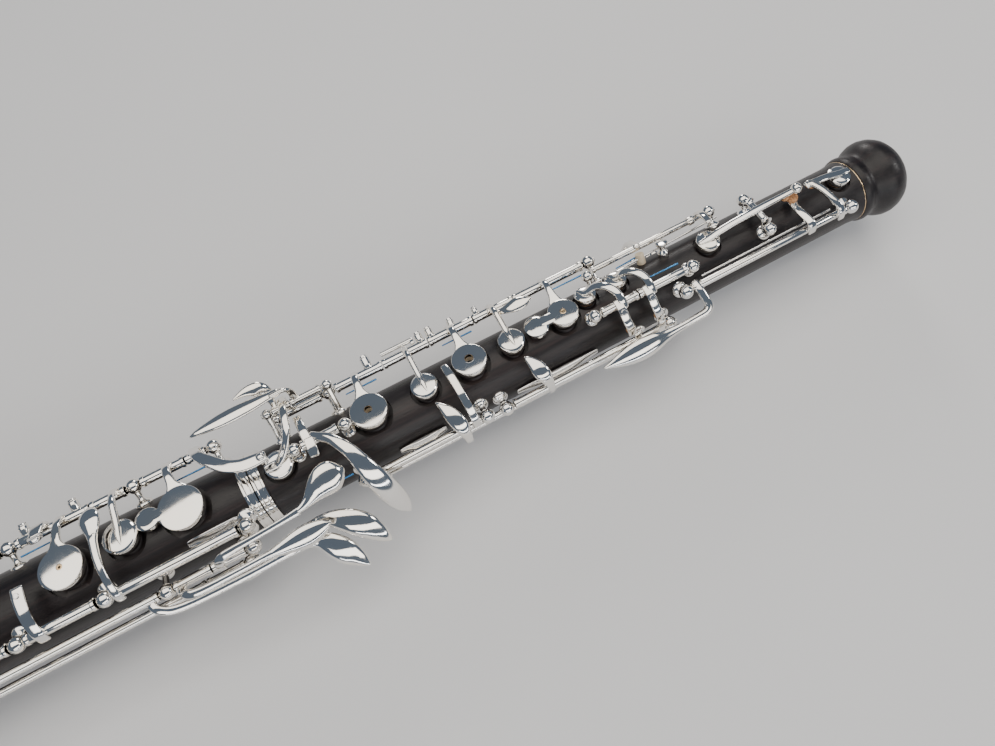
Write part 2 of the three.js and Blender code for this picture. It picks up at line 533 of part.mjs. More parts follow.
// ---------------------------------------------------------------- keys of the lower joint
key('articulation_lever', RIGHT_STACK, [
  tube(RIGHT_STACK, -242.4, -248.4),
  arm([[-244.8, 55, 19.2, 1.3, 0.7], [-244.4, 40, 20.6, 1.4, 0.7], [-242.6, 26, 20.9, 1.6, 0.7],
    [-239.4, 14, 20.4, 1.8, 0.7],
    [-235.6, 4, 19.6, 1.9, 0.6], [-229.6, 1, 19.2, 1.9, 0.6], [-226, 1, 19.1, 1.4, 0.5]]),
  peg(-227.4, 1, 15.7, 20.4, 1.2)]);

key('f_sharp_key', RIGHT_STACK, [
  tube(RIGHT_STACK, -248.8, -261.8), cup(plateF), cupArm(RIGHT_STACK, plateF, -253.6, 1.5),
  arm([[-256, 0, 14.1, 3.4, 0.6], [-259.6, 2, 14.1, 2.2, 0.6], [-262.2, 4, 14.1, 3.4, 0.6],
    [-264.4, 4, 14.1, 1.6, 0.5]], 6)],
{ padded: [plateF], lift: STAND_OPEN });

key('f_sharp_vent_key', RIGHT_STACK, [
  tube(RIGHT_STACK, -266.6, -276.6), cup(cupF), cupArm(RIGHT_STACK, cupF, -269, 1)],
{ padded: [cupF], lift: STAND_OPEN });

key('e_key', RIGHT_STACK, [
  tube(RIGHT_STACK, -277, -298.2), cup(plateE), cupArm(RIGHT_STACK, plateE, -285, 1.5),
  arm([[-291, 57, 19.2, 2.4, 0.8], [-291, 48, 20, 2.4, 0.8], [-291, 38, 19, 1.6, 0.6]]),
  peg(-281, 58, 18, 22.6, 1.4), peg(-295.4, 58, 18, 22.6, 1.4)], { padded: [plateE], lift: STAND_OPEN });

key('d_key', RIGHT_STACK, [
  tube(RIGHT_STACK, -303, -325), cup(plateD), cupArm(RIGHT_STACK, plateD, -318, 1.5),
  peg(-307, 58, 18, 22.6, 1.4)], { padded: [plateD], lift: STAND_OPEN });

key('e_flat_trill_key', NEAR_TOP, [
  tube(NEAR_TOP, -242.2, -277.3, 1.5),
  arm([[-276, -50, 17.8, 1.1, 0.8], [-276, -30, 18.6, 1, 0.8], [-275.6, 0, 18.6, 1, 0.8],
    [-275.2, 8, 18.8, 1.4, 0.8],
    [-275, 18, 19.4, 2.6, 0.9], [-274.9, 26, 20, 2.7, 0.9], [-274.8, 33, 20.2, 1.2, 0.6]], 6)]);

key('forked_f_key', NEAR_TOP, [
  tube(NEAR_TOP, -282.1, -301.3, 1.5),
  arm([[-297, -50, 18, 1.4, 0.8], [-297, -30, 19, 1.5, 0.8], [-297, -9, 18.6, 1.8, 0.7],
    [-297, -3, 18.4, 0.9, 0.5]])]);

key('f_key', NEAR_TOP, [
  tube(NEAR_TOP, -306.1, -356.1, 1.5), cup(cupFKey), cupArm(NEAR_TOP, cupFKey, -351.5, 1.2)],
{ padded: [cupFKey] });

key('e_flat_key', RIGHT_STACK, [
  tube(RIGHT_STACK, -329.8, -341), cup(cupEFlat), cupArm(RIGHT_STACK, cupEFlat, -336.5, 1.2),
  arm([[-333, 54, 18.9, 1.4, 0.8], [-333.6, 68, 21.6, 2, 0.9], [-335, 80, 24.6, 3.6, 1],
    [-336, 90, 27.6, 3.2, 0.9],
    [-336.4, 96, 29.6, 1, 0.6]], 6)], { padded: [cupEFlat] });

key('c_sharp_key', RIGHT_STACK, [
  tube(RIGHT_STACK, -341.4, -375.8), cup(cupCSharp), cupArm(RIGHT_STACK, cupCSharp, -369, 1.3),
  arm([[-346, 54, 18.9, 1.4, 0.8], [-346.4, 67, 21.4, 2, 0.9], [-347.4, 80, 24.6, 3.6, 1],
    [-348, 90, 27.6, 3.2, 0.9],
    [-348.4, 96, 29.6, 1, 0.6]], 6)], { padded: [cupCSharp] });

key('low_c_key', LOW_C_HINGE, [
  tube(LOW_C_HINGE, -361.3, -402.4), cup(cupLowC),
  arm([[-394, 88, 18.6, 1.4, 0.8], [-394, 70, 20.4, 1.4, 0.8], [-394, 40, 20.8, 1.4, 0.8],
    [-394, 14, 17.6, 1.7, 0.7], [-394, -2, 15.5, 1.4, 0.5]]),
  arm([[-366, 88, 18.6, 1.4, 0.8], [-365.6, 78, 21.6, 1.6, 0.8], [-363.6, 72, 24, 3, 0.9],
    [-360, 69, 25.4, 4, 1],
    [-356.6, 68, 25.6, 3, 0.9],
    [-354.6, 68, 25.4, 1.2, 0.6]], 6)], { padded: [cupLowC], lift: STAND_OPEN });

const LEVER_FACING = -34;
key('left_f_lever', NEAR_MIDDLE, [
  tube(NEAR_MIDDLE, -242.8, -252.4),
  arm([[-250, -68, 19.9, 1.2, 0.8], [-249.4, -57, 21.2, 1.4, 0.7], [-244, -53, 21.6, 1, 0.6],
    [-226.4, -50.6, 21.7, 0.9, 0.6],
    [-222.6, -48.4, 21.4, 1.5, 0.7], [-219.4, -44.4, 20.9, 3, 0.8], [-216.4, -40.8, 20.6, 4.3, 0.9],
    [-213.4, -38.6, 20.4, 4.7, 0.9], [-210.8, -37.4, 20.2, 3.6, 0.8],
    [-209.2, -37, 20, 1.4, 0.5]], 6, LEVER_FACING)]);

key('left_e_flat_lever', NEAR_MIDDLE, [
  tube(NEAR_MIDDLE, -252.8, -263.2),
  arm([[-261.4, -66, 20, 1.2, 0.8], [-260.6, -66, 23, 1.4, 0.8], [-256, -66.4, 24.4, 1.4, 0.8],
    [-240, -66, 24.5, 1, 0.8],
    [-236, -65.8, 24.7, 1.2, 0.8], [-232, -65.6, 25, 2.1, 0.9], [-228, -65.2, 25.1, 3, 1],
    [-224.4, -65.2, 25.1, 3.2, 1],
    [-221.4, -65.6, 24.8, 2.3, 0.8], [-218.8, -65.8, 24.3, 0.7, 0.5]], 6, LEVER_FACING)]);

key('low_b_lever', NEAR_LOW, [
  tube(NEAR_LOW, -245.6, -256.6, 1.2),
  arm([[-248.8, -86, 19.4, 1.2, 0.8], [-248.4, -87, 21.4, 1.2, 0.8], [-243.5, -86.4, 22.3, 1.1, 0.8],
    [-238, -83, 21.2, 1.1, 0.8], [-232, -78, 19.8, 1.1, 0.8], [-226, -74.4, 19.7, 1.2, 0.8],
    [-221.6, -71, 20.6, 1.5, 0.8],
    [-218.6, -70.4, 21.9, 2.2, 0.9], [-215.2, -73.4, 23.8, 3.1, 1], [-212.4, -77.2, 25.5, 3.6, 1],
    [-210, -82.6, 27.7, 3.3, 0.9],
    [-208, -87.6, 30, 2.2, 0.8], [-206.8, -91.4, 31.6, 0.7, 0.5]], 6, LEVER_FACING)]);

key('low_b_key', NEAR_LOW, [
  tube(NEAR_LOW, -257, -452.4, 1.2), cup(cupLowB),
  arm([[-444, -87, 19.7, 1.4, 0.8], [-444, -78, 22, 1.4, 0.8], [-444, -66, 22.4, 1.4, 0.8],
    [-444, -48, 21.4, 1.4, 0.8],
    [-444, -22, 17.8, 1.7, 0.7], [-444, -2, 15.4, 1.4, 0.5]])],
{ padded: [cupLowB], lift: NEAR_OPEN });

key('low_b_flat_lever', NEAR_MIDDLE, [
  tube(NEAR_MIDDLE, -268, -464.1, 1.2),
  arm([[-270.5, -68, 20, 1.2, 0.8], [-268.4, -73, 22, 1.3, 0.8], [-263.6, -77.2, 23, 1.3, 0.8],
    [-246, -78.4, 23.4, 1.2, 0.8],
    [-228, -78.4, 23.3, 1.3, 0.8], [-224.6, -79.2, 23.8, 2, 0.9], [-222.4, -81.6, 25.4, 3, 1],
    [-220.2, -86, 28.1, 3.7, 1],
    [-218.2, -90.4, 30.8, 3.1, 0.9], [-216.4, -93.4, 33.1, 1.8, 0.8],
    [-215.3, -95.2, 34.5, 0.6, 0.5]], 6, LEVER_FACING),
  arm([[-459.5, -66, 20.1, 1.3, 0.8], [-463, -66, 22.6, 1.3, 0.8], [-470, -66, 22.8, 1.3, 0.8],
    [-481, -65, 22.9, 1.6, 0.7]])]);

key('bell_key', BELL_HINGE, [
  tube(BELL_HINGE, -488.3, -515.2), cup(cupBell), cupArm(BELL_HINGE, cupBell, -505, 1.4),
  arm([[-490.6, -82, 19.4, 1.3, 0.8], [-490.4, -70, 20.6, 1.3, 0.7], [-486, -66, 20.9, 1.3, 0.6],
    [-479, -65, 20.6, 1.5, 0.5]])],
{ padded: [cupBell], lift: NEAR_OPEN });

// ---------------------------------------------------------------- the row frame
const extent = new THREE.Box3().setFromObject(oboe);
const middle = extent.getCenter(new THREE.Vector3());
oboe.position.set(-middle.x, -middle.y, -extent.min.z);
const group = new THREE.Group();
group.add(oboe);

export default group;
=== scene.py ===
"""An oboe of the Conservatoire system, lying with its finger plates up, built around its CAD frame.

Places are given as in the CAD: [x, angle, radius] in millimetres and degrees, x along the bore (negative
towards the bell), angle about the bore from straight up (positive away from the little finger
keys), radius from the bore's axis. at() turns such a place into metres in the row frame.
"""
import math

import bpy
from mathutils import Matrix, Vector


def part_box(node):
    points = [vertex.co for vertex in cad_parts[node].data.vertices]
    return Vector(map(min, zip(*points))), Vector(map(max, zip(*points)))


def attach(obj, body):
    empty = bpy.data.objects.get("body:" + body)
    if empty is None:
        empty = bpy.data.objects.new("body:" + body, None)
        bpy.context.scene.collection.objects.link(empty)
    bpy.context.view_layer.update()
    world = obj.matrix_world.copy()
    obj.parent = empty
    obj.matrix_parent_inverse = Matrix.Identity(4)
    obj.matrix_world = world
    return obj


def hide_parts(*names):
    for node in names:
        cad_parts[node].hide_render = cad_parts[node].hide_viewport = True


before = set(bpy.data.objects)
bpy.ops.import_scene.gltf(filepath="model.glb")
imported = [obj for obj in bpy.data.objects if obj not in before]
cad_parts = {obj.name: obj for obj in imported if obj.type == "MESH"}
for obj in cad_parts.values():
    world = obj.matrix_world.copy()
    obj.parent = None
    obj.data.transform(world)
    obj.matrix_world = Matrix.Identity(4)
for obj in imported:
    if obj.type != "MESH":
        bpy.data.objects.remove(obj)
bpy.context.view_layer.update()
MM = 0.001

ring_low, ring_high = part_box("upper_joint_ring")
AXIS = (Vector(ring_low) + Vector(ring_high)) / 2

# ---------------------------------------------------------------- driving dimensions, as in the CAD
CROWN_FACE = -5.5
JOIN_X = -234.0
BELL_X = -474.0
END_X = -602.5
RING_WIDTH = 3.0
GAP = 0.3
UPPER_RADIUS = 10.1
LOWER_RADIUS = 12.0
TUBE_RADIUS = 1.3
STACK_RADIUS = 1.45

# Heights above the body at a tone hole, and how far a key stands open, in degrees.
PAD_BOTTOM = -0.5
PAD_TOP = 1.3
CUP_BOTTOM = 1.3
CUP_TOP = 2.9
SEAT_HEIGHT = -0.8
POCKET_HEIGHT = -1.5
STAND_OPEN = -4.2
NEAR_OPEN = 4.2

# Hinge lines, as [angle, radius]. The first octave key turns across the bore, at LEVER_X.
OCTAVE = (-46, 14.3)
TRILL = (-21.5, 14.5)
OCTAVE_LINK = (44, 15)
THUMB = (110, 14)
LEFT_STACK = (60, 17)
TRILL_LEVER_A = (-75, 15)
TRILL_LEVER_B = (-89, 13.7)
CROSS = (-68.5, 15.6)
G_TOUCH = (-2, 15.5)
TRILL_TOUCH = (50, 19.6)
RIGHT_STACK = (53, 18)
NEAR_TOP = (-47, 17)
NEAR_MIDDLE = (-66, 19)
NEAR_LOW = (-84, 18.8)
LOW_C_HINGE = (88, 17.6)
BELL_HINGE = (-84, 18.6)
LEVER_X = -62.4
LEVER_ANGLE = 3
LEVER_RADIUS = 14.2

# ---------------------------------------------------------------- dimensions of this script alone
COLLAR_WIDTH = 1.1
COLLAR_STEP = 0.22
POST_SIZE = 2.1
DOME_SHARE = 0.4
SHARP_METAL = 38
SHARP_WOOD = 30
LONGEST_STEP = 3.0
SIDE_FACING = -38
LEVER_FACING = -34
TOUCH_FACING = -30

ORIGIN_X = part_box("upper_joint")[1][0] - CROWN_FACE * MM


def outward(angle):
    a = math.radians(angle)
    return Vector((0, math.sin(a), math.cos(a)))


def at(x, angle, radius):
    place = outward(angle) * radius * MM
    return Vector((ORIGIN_X + x * MM, AXIS.y + place.y, AXIS.z + place.z))


# ---------------------------------------------------------------- materials
class Recipe:
    """A material and the shader nodes that are put into it."""

    def __init__(self, name):
        self.material = bpy.data.materials.new(name)
        self.material.use_nodes = True
        self.nodes = self.material.node_tree.nodes
        self.shader = self.nodes["Principled BSDF"]

    def link(self, output, entry):
        self.material.node_tree.links.new(output, entry)

    def feed(self, entry, output):
        self.link(output, self.shader.inputs[entry])

    def settings(self, **values):
        for entry, value in values.items():
            self.shader.inputs[entry.replace("_", " ")].default_value = value

    def mapped(self, scale=(1, 1, 1)):
        coordinates = self.nodes.new("ShaderNodeTexCoord")
        mapping = self.nodes.new("ShaderNodeMapping")
        mapping.inputs["Scale"].default_value = scale
        self.link(coordinates.outputs["Object"], mapping.inputs["Vector"])
        return mapping.outputs["Vector"]

    def noise(self, vector, scale, detail, roughness=0.5):
        texture = self.nodes.new("ShaderNodeTexNoise")
        texture.inputs["Scale"].default_value = scale
        texture.inputs["Detail"].default_value = detail
        texture.inputs["Roughness"].default_value = roughness
        self.link(vector, texture.inputs["Vector"])
        return texture.outputs["Fac"]

    def ramp(self, value, stops):
        blend = self.nodes.new("ShaderNodeValToRGB")
        for element, (position, colour) in zip(blend.color_ramp.elements, (stops[0], stops[-1])):
            element.position = position
            element.color = (*colour, 1)
        for position, colour in stops[1:-1]:
            blend.color_ramp.elements.new(position).color = (*colour, 1)
        self.link(value, blend.inputs["Fac"])
        return blend.outputs["Color"]

    def spread(self, value, low, high):
        """Stretches the middle half of a noise over the range from low to high."""
        remap = self.nodes.new("ShaderNodeMapRange")
        remap.inputs["To Min"].default_value = low
        remap.inputs["To Max"].default_value = high
        remap.inputs["From Min"].default_value = 0.25
        remap.inputs["From Max"].default_value = 0.75
        self.link(value, remap.inputs["Value"])
        return remap.outputs["Result"]

    def math(self, operation, first, factor):
        """Returns the node, so that a third input can be fed too."""
        node = self.nodes.new("ShaderNodeMath")
        node.operation = operation
        node.inputs[1].default_value = factor
        self.link(first, node.inputs[0])
        return node

    def bump(self, value, strength, distance):
        relief = self.nodes.new("ShaderNodeBump")
        relief.inputs["Strength"].default_value = strength
        relief.inputs["Distance"].default_value = distance
        self.link(value, relief.inputs["Height"])
        self.feed("Normal", relief.outputs["Normal"])


def polished_metal(name, warm, cool, low_roughness, high_roughness):
    """Plated metal: a faint drift between a warm and a cool tint, wiping marks and fine scratches."""
    recipe = Recipe(name)
    recipe.settings(Metallic=1.0)
    place = recipe.mapped()
    recipe.feed("Base Color", recipe.ramp(recipe.noise(place, 60, 3), [(0.3, warm), (0.7, cool)]))
    smear = recipe.noise(place, 260, 5, 0.6)
    recipe.feed("Roughness", recipe.spread(smear, low_roughness, high_roughness))
    scratches = recipe.noise(recipe.mapped((600, 5200, 5200)), 1.0, 3, 0.7)
    recipe.bump(scratches, 0.05, 0.00004)
    return recipe.material


def dark_wood():
    """Oiled blackwood: near black, with brown streaks and open pores drawn out along the bore."""
    recipe = Recipe("oiled_blackwood")
    grain = recipe.noise(recipe.mapped((26, 950, 950)), 1.0, 7, 0.62)
    figure = recipe.noise(recipe.mapped((9, 190, 190)), 1.0, 4, 0.5)
    mix = recipe.math("MULTIPLY_ADD", grain, 0.6)
    recipe.link(recipe.math("MULTIPLY", figure, 0.4).outputs[0], mix.inputs[2])
    recipe.feed("Base Color", recipe.ramp(mix.outputs[0], [
        (0.34, (0.003, 0.002, 0.0026)), (0.5, (0.008, 0.0052, 0.0062)),
        (0.6, (0.018, 0.0105, 0.0108)), (0.72, (0.040, 0.023, 0.021))]))
    recipe.feed("Roughness", recipe.spread(grain, 0.34, 0.5))
    recipe.settings(Specular_IOR_Level=0.42, Coat_Weight=0.1, Coat_Roughness=0.28)
    pores = recipe.noise(recipe.mapped((150, 2600, 2600)), 1.0, 2, 0.5)
    recipe.bump(recipe.ramp(pores, [(0.36, (0, 0, 0)), (0.47, (1, 1, 1))]), 0.35, 0.00006)
    return recipe.material


def soft_matte(name, stops, scale, roughness, relief, sheen=0.0):
    """Skin, felt or cork: a mottled colour with a fine uneven surface."""
    recipe = Recipe(name)
    place = recipe.mapped()
    grain = recipe.noise(place, scale, 6, 0.65)
    recipe.feed("Base Color", recipe.ramp(grain, stops))
    recipe.feed("Roughness", recipe.spread(grain, roughness - 0.08, roughness + 0.08))
    recipe.settings(Sheen_Weight=sheen)
    recipe.bump(recipe.noise(place, scale * 2.2, 5, 0.6), relief, 0.0001)
    return recipe.material


def pale_floor():
    recipe = Recipe("pale_paper")
    place = recipe.mapped()
    recipe.feed("Base Color", recipe.ramp(recipe.noise(place, 3, 3), [
        (0.3, (0.74, 0.74, 0.75)), (0.7, (0.79, 0.79, 0.8))]))
    recipe.settings(Roughness=0.85)
    recipe.bump(recipe.noise(place, 900, 4), 0.1, 0.0001)
    return recipe.material


SILVER = polished_metal("polished_silver", (0.90, 0.855, 0.78), (0.87, 0.86, 0.84), 0.04, 0.11)
BRIGHT = polished_metal("bright_silver", (0.88, 0.85, 0.80), (0.84, 0.84, 0.85), 0.1, 0.22)
STEEL = polished_metal("blued_steel", (0.05, 0.18, 0.42), (0.08, 0.26, 0.5), 0.2, 0.36)
BRASS = polished_metal("brass_bushing", (0.78, 0.60, 0.38), (0.72, 0.50, 0.30), 0.18, 0.3)
WOOD = dark_wood()
SKIN = soft_matte("pad_skin", [(0.3, (0.62, 0.49, 0.33)), (0.7, (0.80, 0.70, 0.54))], 500, 0.55, 0.3, 0.1)
CORK = soft_matte("natural_cork", [
    (0.34, (0.26, 0.10, 0.035)), (0.5, (0.58, 0.29, 0.13)), (0.68, (0.72, 0.42, 0.22))], 1500, 0.85, 0.7)


# ---------------------------------------------------------------- mesh helpers
class Shell:
    """Points and faces gathered from several closed forms, made into one object at the end."""

    def __init__(self):
        self.points = []
        self.faces = []

    def add(self, points, faces):
        start = len(self.points)
        self.points.extend(points)
        self.faces.extend([tuple(start + i for i in face) for face in faces])

    def turn(self, hinge, degrees):
        centre = at(0, *hinge)
        spin = Matrix.Rotation(math.radians(degrees), 4, "X")
        move = Matrix.Translation(centre) @ spin @ Matrix.Translation(-centre)
        self.points = [move @ point for point in self.points]


def mesh_object(name, shell):
    mesh = bpy.data.meshes.new(name)
    mesh.from_pydata([tuple(p) for p in shell.points], [], shell.faces)
    thing = bpy.data.objects.new(name, mesh)
    bpy.context.scene.collection.objects.link(thing)
    return thing


def make(name, shell, material, body="root", replaced=()):
    piece = mesh_object(name, shell)
    piece.data.validate()
    finish(piece, material, SHARP_METAL, body, replaced)


def finish(piece, material, sharp, body="root", replaced=()):
    """Gives a piece its material, in its slot, and its edges, ties it to its body, and hides the CAD nodes
    that it replaces.
    """
    piece.data.materials.clear()
    piece.data.materials.append(material)
    piece.data.shade_smooth()
    piece.data.set_sharp_from_angle(angle=math.radians(sharp))
    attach(piece, body)
    if replaced:
        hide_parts(*replaced)


def skin_rows(rows, closed=False):
    """Quads between rings of equal length; open ends are closed with one flat face each."""
    count = len(rows[0])
    points = [point for row in rows for point in row]
    faces = []
    pairs = len(rows) if closed else len(rows) - 1
    for i in range(pairs):
        j = (i + 1) % len(rows)
        for k in range(count):
            n = (k + 1) % count
            faces.append((i * count + k, i * count + n, j * count + n, j * count + k))
    if not closed:
        faces.append(tuple(reversed(range(count))))
        last = (len(rows) - 1) * count
        faces.append(tuple(range(last, last + count)))
    return points, faces


def filleted(points, radius, steps=3):
    """A profile with its inner corners rounded by short curves."""
    result = [Vector(points[0])]
    for before, corner, after in zip(points, points[1:], points[2:]):
        a, b, c = Vector(before), Vector(corner), Vector(after)
        start = b + (a - b).normalized() * min(radius, (a - b).length * 0.45)
        end = b + (c - b).normalized() * min(radius, (c - b).length * 0.45)
        for k in range(steps + 1):
            t = k / steps
            result.append(start * (1 - t) ** 2 + b * 2 * t * (1 - t) + end * t ** 2)
    result.append(Vector(points[-1]))
    return [tuple(p) for p in result]


def lathe(profile, centre, axis, segments, closed=False):
    """Turns [radius, height] points, in mm, about an axis through centre. Radius 0 is kept just open."""
    axis = axis.normalized()
    side = axis.orthogonal().normalized()
    if abs(axis.x) < 0.9:
        side = Vector((1, 0, 0))
    other = axis.cross(side)
    turns = [2 * math.pi * k / segments for k in range(segments)]
    spokes = [side * math.cos(t) + other * math.sin(t) for t in turns]
    rows = [[centre + axis * height * MM + spoke * max(radius, 0.004) * MM for spoke in spokes]
            for radius, height in profile]
    return skin_rows(rows, closed)


def radial(x, angle, profile, segments, closed=False):
    """Turned about the line that stands out of the body at [x, angle]; heights are from the bore's axis."""
    return lathe(profile, at(x, angle, 0), outward(angle), segments, closed)


def plug(low, high, radius, fillet=0.2, steps=3):
    """The profile of a plain round plug."""
    return filleted([(0, low), (radius, low), (radius, high), (0, high)], fillet, steps)


def block(x, angle, low, high, radius, fillet=0.2, segments=24):
    """A plain round plug that stands out of the body."""
    return radial(x, angle, plug(low, high, radius, fillet), segments)


def along(x_from, x_to, line, radius, segments=20):
    """A round rod or tube parallel to the bore."""
    profile = plug(0, abs(x_to - x_from), radius, 0.15, 2)
    return lathe(profile, at(max(x_from, x_to), *line), Vector((-1, 0, 0)), segments)


def turned(points, segments):
    """A ring turned about the bore: points are [x, radius]."""
    profile = [(radius, x) for x, radius in points]
    return lathe(profile, at(0, 0, 0), Vector((1, 0, 0)), segments, closed=True)


def smooth_path(stations, detail):
    """A Catmull-Rom curve through stations of any number of values."""
    if len(stations) < 3:
        return [tuple(s) for s in stations]
    ends = [stations[0]] + list(stations) + [stations[-1]]
    result = []
    for i in range(len(stations) - 1):
        p0, p1, p2, p3 = ends[i:i + 4]
        for k in range(detail):
            t = k / detail
            result.append(tuple(
                0.5 * (2 * b + (c - a) * t + (2 * a - 5 * b + 4 * c - d) * t ** 2
                       + (3 * b - a - 3 * c + d) * t ** 3)
                for a, b, c, d in zip(p0, p1, p2, p3)))
    result.append(tuple(stations[-1]))
    return result


def oval(sides, power):
    """A round-cornered section: power 2 is an ellipse, and 5 is nearly a rectangle."""
    result = []
    for k in range(sides):
        turn = 2 * math.pi * (k + 0.5) / sides
        c, s = math.cos(turn), math.sin(turn)
        result.append((math.copysign(abs(c) ** (2 / power), c), math.copysign(abs(s) ** (2 / power), s)))
    return result


def swept(stations, power, sides, detail, facing=None):
    """A bar or spoon through stations [x, angle, radius, half width, half thickness]. Its flat side faces
    away from the bore, or along the facing angle."""
    path = smooth_path([(*at(x, angle, radius), width, thickness)
                        for x, angle, radius, width, thickness in stations], detail)
    centres = [Vector(point[:3]) for point in path]
    section = oval(sides, power)
    rows = []
    frames = []
    for i, (_, y, z, width, thickness) in enumerate(path):
        before = centres[max(i - 1, 0)]
        after = centres[min(i + 1, len(centres) - 1)]
        direction = (after - before).normalized()
        up = Vector((0, y - AXIS.y, z - AXIS.z)) if facing is None else outward(facing)
        side = direction.cross(up).normalized()
        up = side.cross(direction)
        width, thickness = max(width, 0.08), max(thickness, 0.08)
        frames.append((direction, side, up, width, thickness))
        rows.append([centres[i] + side * width * c * MM + up * thickness * s * MM for c, s in section])
    for end, sign in ((0, -1), (-1, 1)):
        direction, side, up, width, thickness = frames[end]
        reach = min(width, thickness)
        extra = []
        for turn in (30, 55, 75):
            shrink, out = math.cos(math.radians(turn)), math.sin(math.radians(turn))
            w = width - reach * (1 - shrink)
            h = thickness * shrink if thickness <= width else thickness - reach * (1 - shrink)
            middle = centres[end] + direction * sign * reach * out * MM
            extra.append([middle + side * w * c * MM + up * h * s * MM for c, s in section])
        rows = list(reversed(extra)) + rows if end == 0 else rows + extra
    return skin_rows(rows)


def wire(start, end, radius, end_radius):
    """A thin straight wire between two points."""
    length = (end - start).length / MM
    return lathe([(0, 0), (radius, 0), (end_radius, length), (0, length)], start, end - start, 10)


def ball_profile(radius, centre_height, first):
    """From first, in degrees below the ball's equator, up to its pole."""
    turns = [math.radians(t) for t in [*range(first, 90 + 1, 16), 90]]
    return [(radius * math.cos(t), centre_height + radius * math.sin(t)) for t in turns]


# ---------------------------------------------------------------- tone holes
class Spot:
    """Where a pad closes a tone hole: its place, the cup's radius, the body's radius and the bore's."""

    def __init__(self, x, angle, size, surface, bore):
        self.x, self.angle, self.size, self.surface, self.bore = x, angle, size, surface, bore


second_octave = Spot(-30.8, 1, 3.6, UPPER_RADIUS, 2.6)
first_octave = Spot(-80.2, 3, 3.7, UPPER_RADIUS, 3)
trill_d = Spot(-111.8, 17, 3.4, UPPER_RADIUS, 3.2)
trill_c = Spot(-122.6, 17, 3.4, UPPER_RADIUS, 3.2)
plate_b = Spot(-132, 2, 4.7, UPPER_RADIUS, 3.4)
cup_c = Spot(-149.8, 0, 4.1, UPPER_RADIUS, 3.5)
plate_a = Spot(-163.5, 3, 5.3, UPPER_RADIUS, 3.6)
cup_b = Spot(-178.7, -1, 4.1, UPPER_RADIUS, 3.8)
plate_g = Spot(-196, 3, 5.6, UPPER_RADIUS + 0.1, 4)
cup_g_sharp = Spot(-225, -4, 4.2, UPPER_RADIUS + 0.2, 4.2)
plate_f = Spot(-252.8, -2, 6.4, LOWER_RADIUS - 0.2, 4.8)
cup_f = Spot(-270, 0, 4.9, LOWER_RADIUS, 5)
plate_e = Spot(-286.4, -2, 6.1, LOWER_RADIUS + 0.3, 5.1)
plate_d = Spot(-318, -2, 6.5, LOWER_RADIUS + 0.5, 5.4)
cup_e_flat = Spot(-336.5, -2, 5.4, LOWER_RADIUS + 0.5, 5.6)
cup_f_key = Spot(-351.5, -2, 5.6, LOWER_RADIUS + 0.5, 5.8)
cup_c_sharp = Spot(-369, -2, 6.2, LOWER_RADIUS + 0.5, 6)
cup_low_c = Spot(-394, -2, 7, LOWER_RADIUS + 0.6, 6.2)
cup_low_b = Spot(-444, -2, 7.2, LOWER_RADIUS + 0.6, 6.6)
cup_bell = Spot(-505, -2, 7.4, 13.2, 8.6)
UPPER_HOLES = [
    second_octave, first_octave, trill_d, trill_c, plate_b, cup_c, plate_a, cup_b, plate_g, cup_g_sharp]
LOWER_HOLES = [plate_f, cup_f, plate_e, plate_d, cup_e_flat, cup_f_key, cup_c_sharp, cup_low_c, cup_low_b]


# ---------------------------------------------------------------- wooden joints
def cut(piece, cutter_shell):
    """Takes the cutter's form away from a piece for good."""
    cutter = mesh_object("cutter", cutter_shell)
    step = piece.modifiers.new("cut", "BOOLEAN")
    step.operation = "DIFFERENCE"
    step.solver = "EXACT"
    step.use_self = True
    step.object = cutter
    bpy.context.view_layer.update()
    shape = bpy.data.meshes.new_from_object(piece.evaluated_get(bpy.context.evaluated_depsgraph_get()))
    piece.modifiers.clear()
    before, piece.data = piece.data, shape
    form = cutter.data
    bpy.data.objects.remove(cutter)
    bpy.data.meshes.remove(before)
    bpy.data.meshes.remove(form)


def dense(points):
    """A profile with extra points on its long stretches."""
    result = [points[0]]
    for (x0, r0), (x1, r1) in zip(points, points[1:]):
        count = max(1, int(abs(x1 - x0) / LONGEST_STEP))
        for k in range(1, count + 1):
            result.append((x0 + (x1 - x0) * k / count, r0 + (r1 - r0) * k / count))
    return result


def wooden_joint(name, node, outer, bore, spots):
    """outer runs from the crown end to the bell end and bore back again, closing the section."""
    body, pockets, holes, seats = Shell(), Shell(), Shell(), Shell()
    body.add(*turned(dense(outer + bore), 96))
    for spot in spots:
        floor = spot.surface + POCKET_HEIGHT
        clear = spot.surface + 6
        pocket = spot.size + 0.7
        hole = 0.5 * spot.size
        start = spot.bore - 1.5
        for shell, radius, low, high, segments in (
                (pockets, pocket, floor, clear, 56), (holes, hole, start, clear + 1, 32)):
            section = [(0, low), (radius, low), (radius, high), (0, high)]
            shell.add(*radial(spot.x, spot.angle, section, segments))
        top = spot.surface + SEAT_HEIGHT
        base = floor - 0.3
        inner, outer_radius = hole + 0.02, 0.78 * spot.size
        ring = filleted([(inner, base), (inner, top), (outer_radius, top), (outer_radius + 0.5, base)], 0.18)
        seats.add(*radial(spot.x, spot.angle, ring, 40, closed=True))
    piece = mesh_object(name, body)
    cut(piece, pockets)
    cut(piece, holes)
    finish(piece, WOOD, SHARP_WOOD, "root", (node,))
    make(name + "_seats", seats, WOOD)


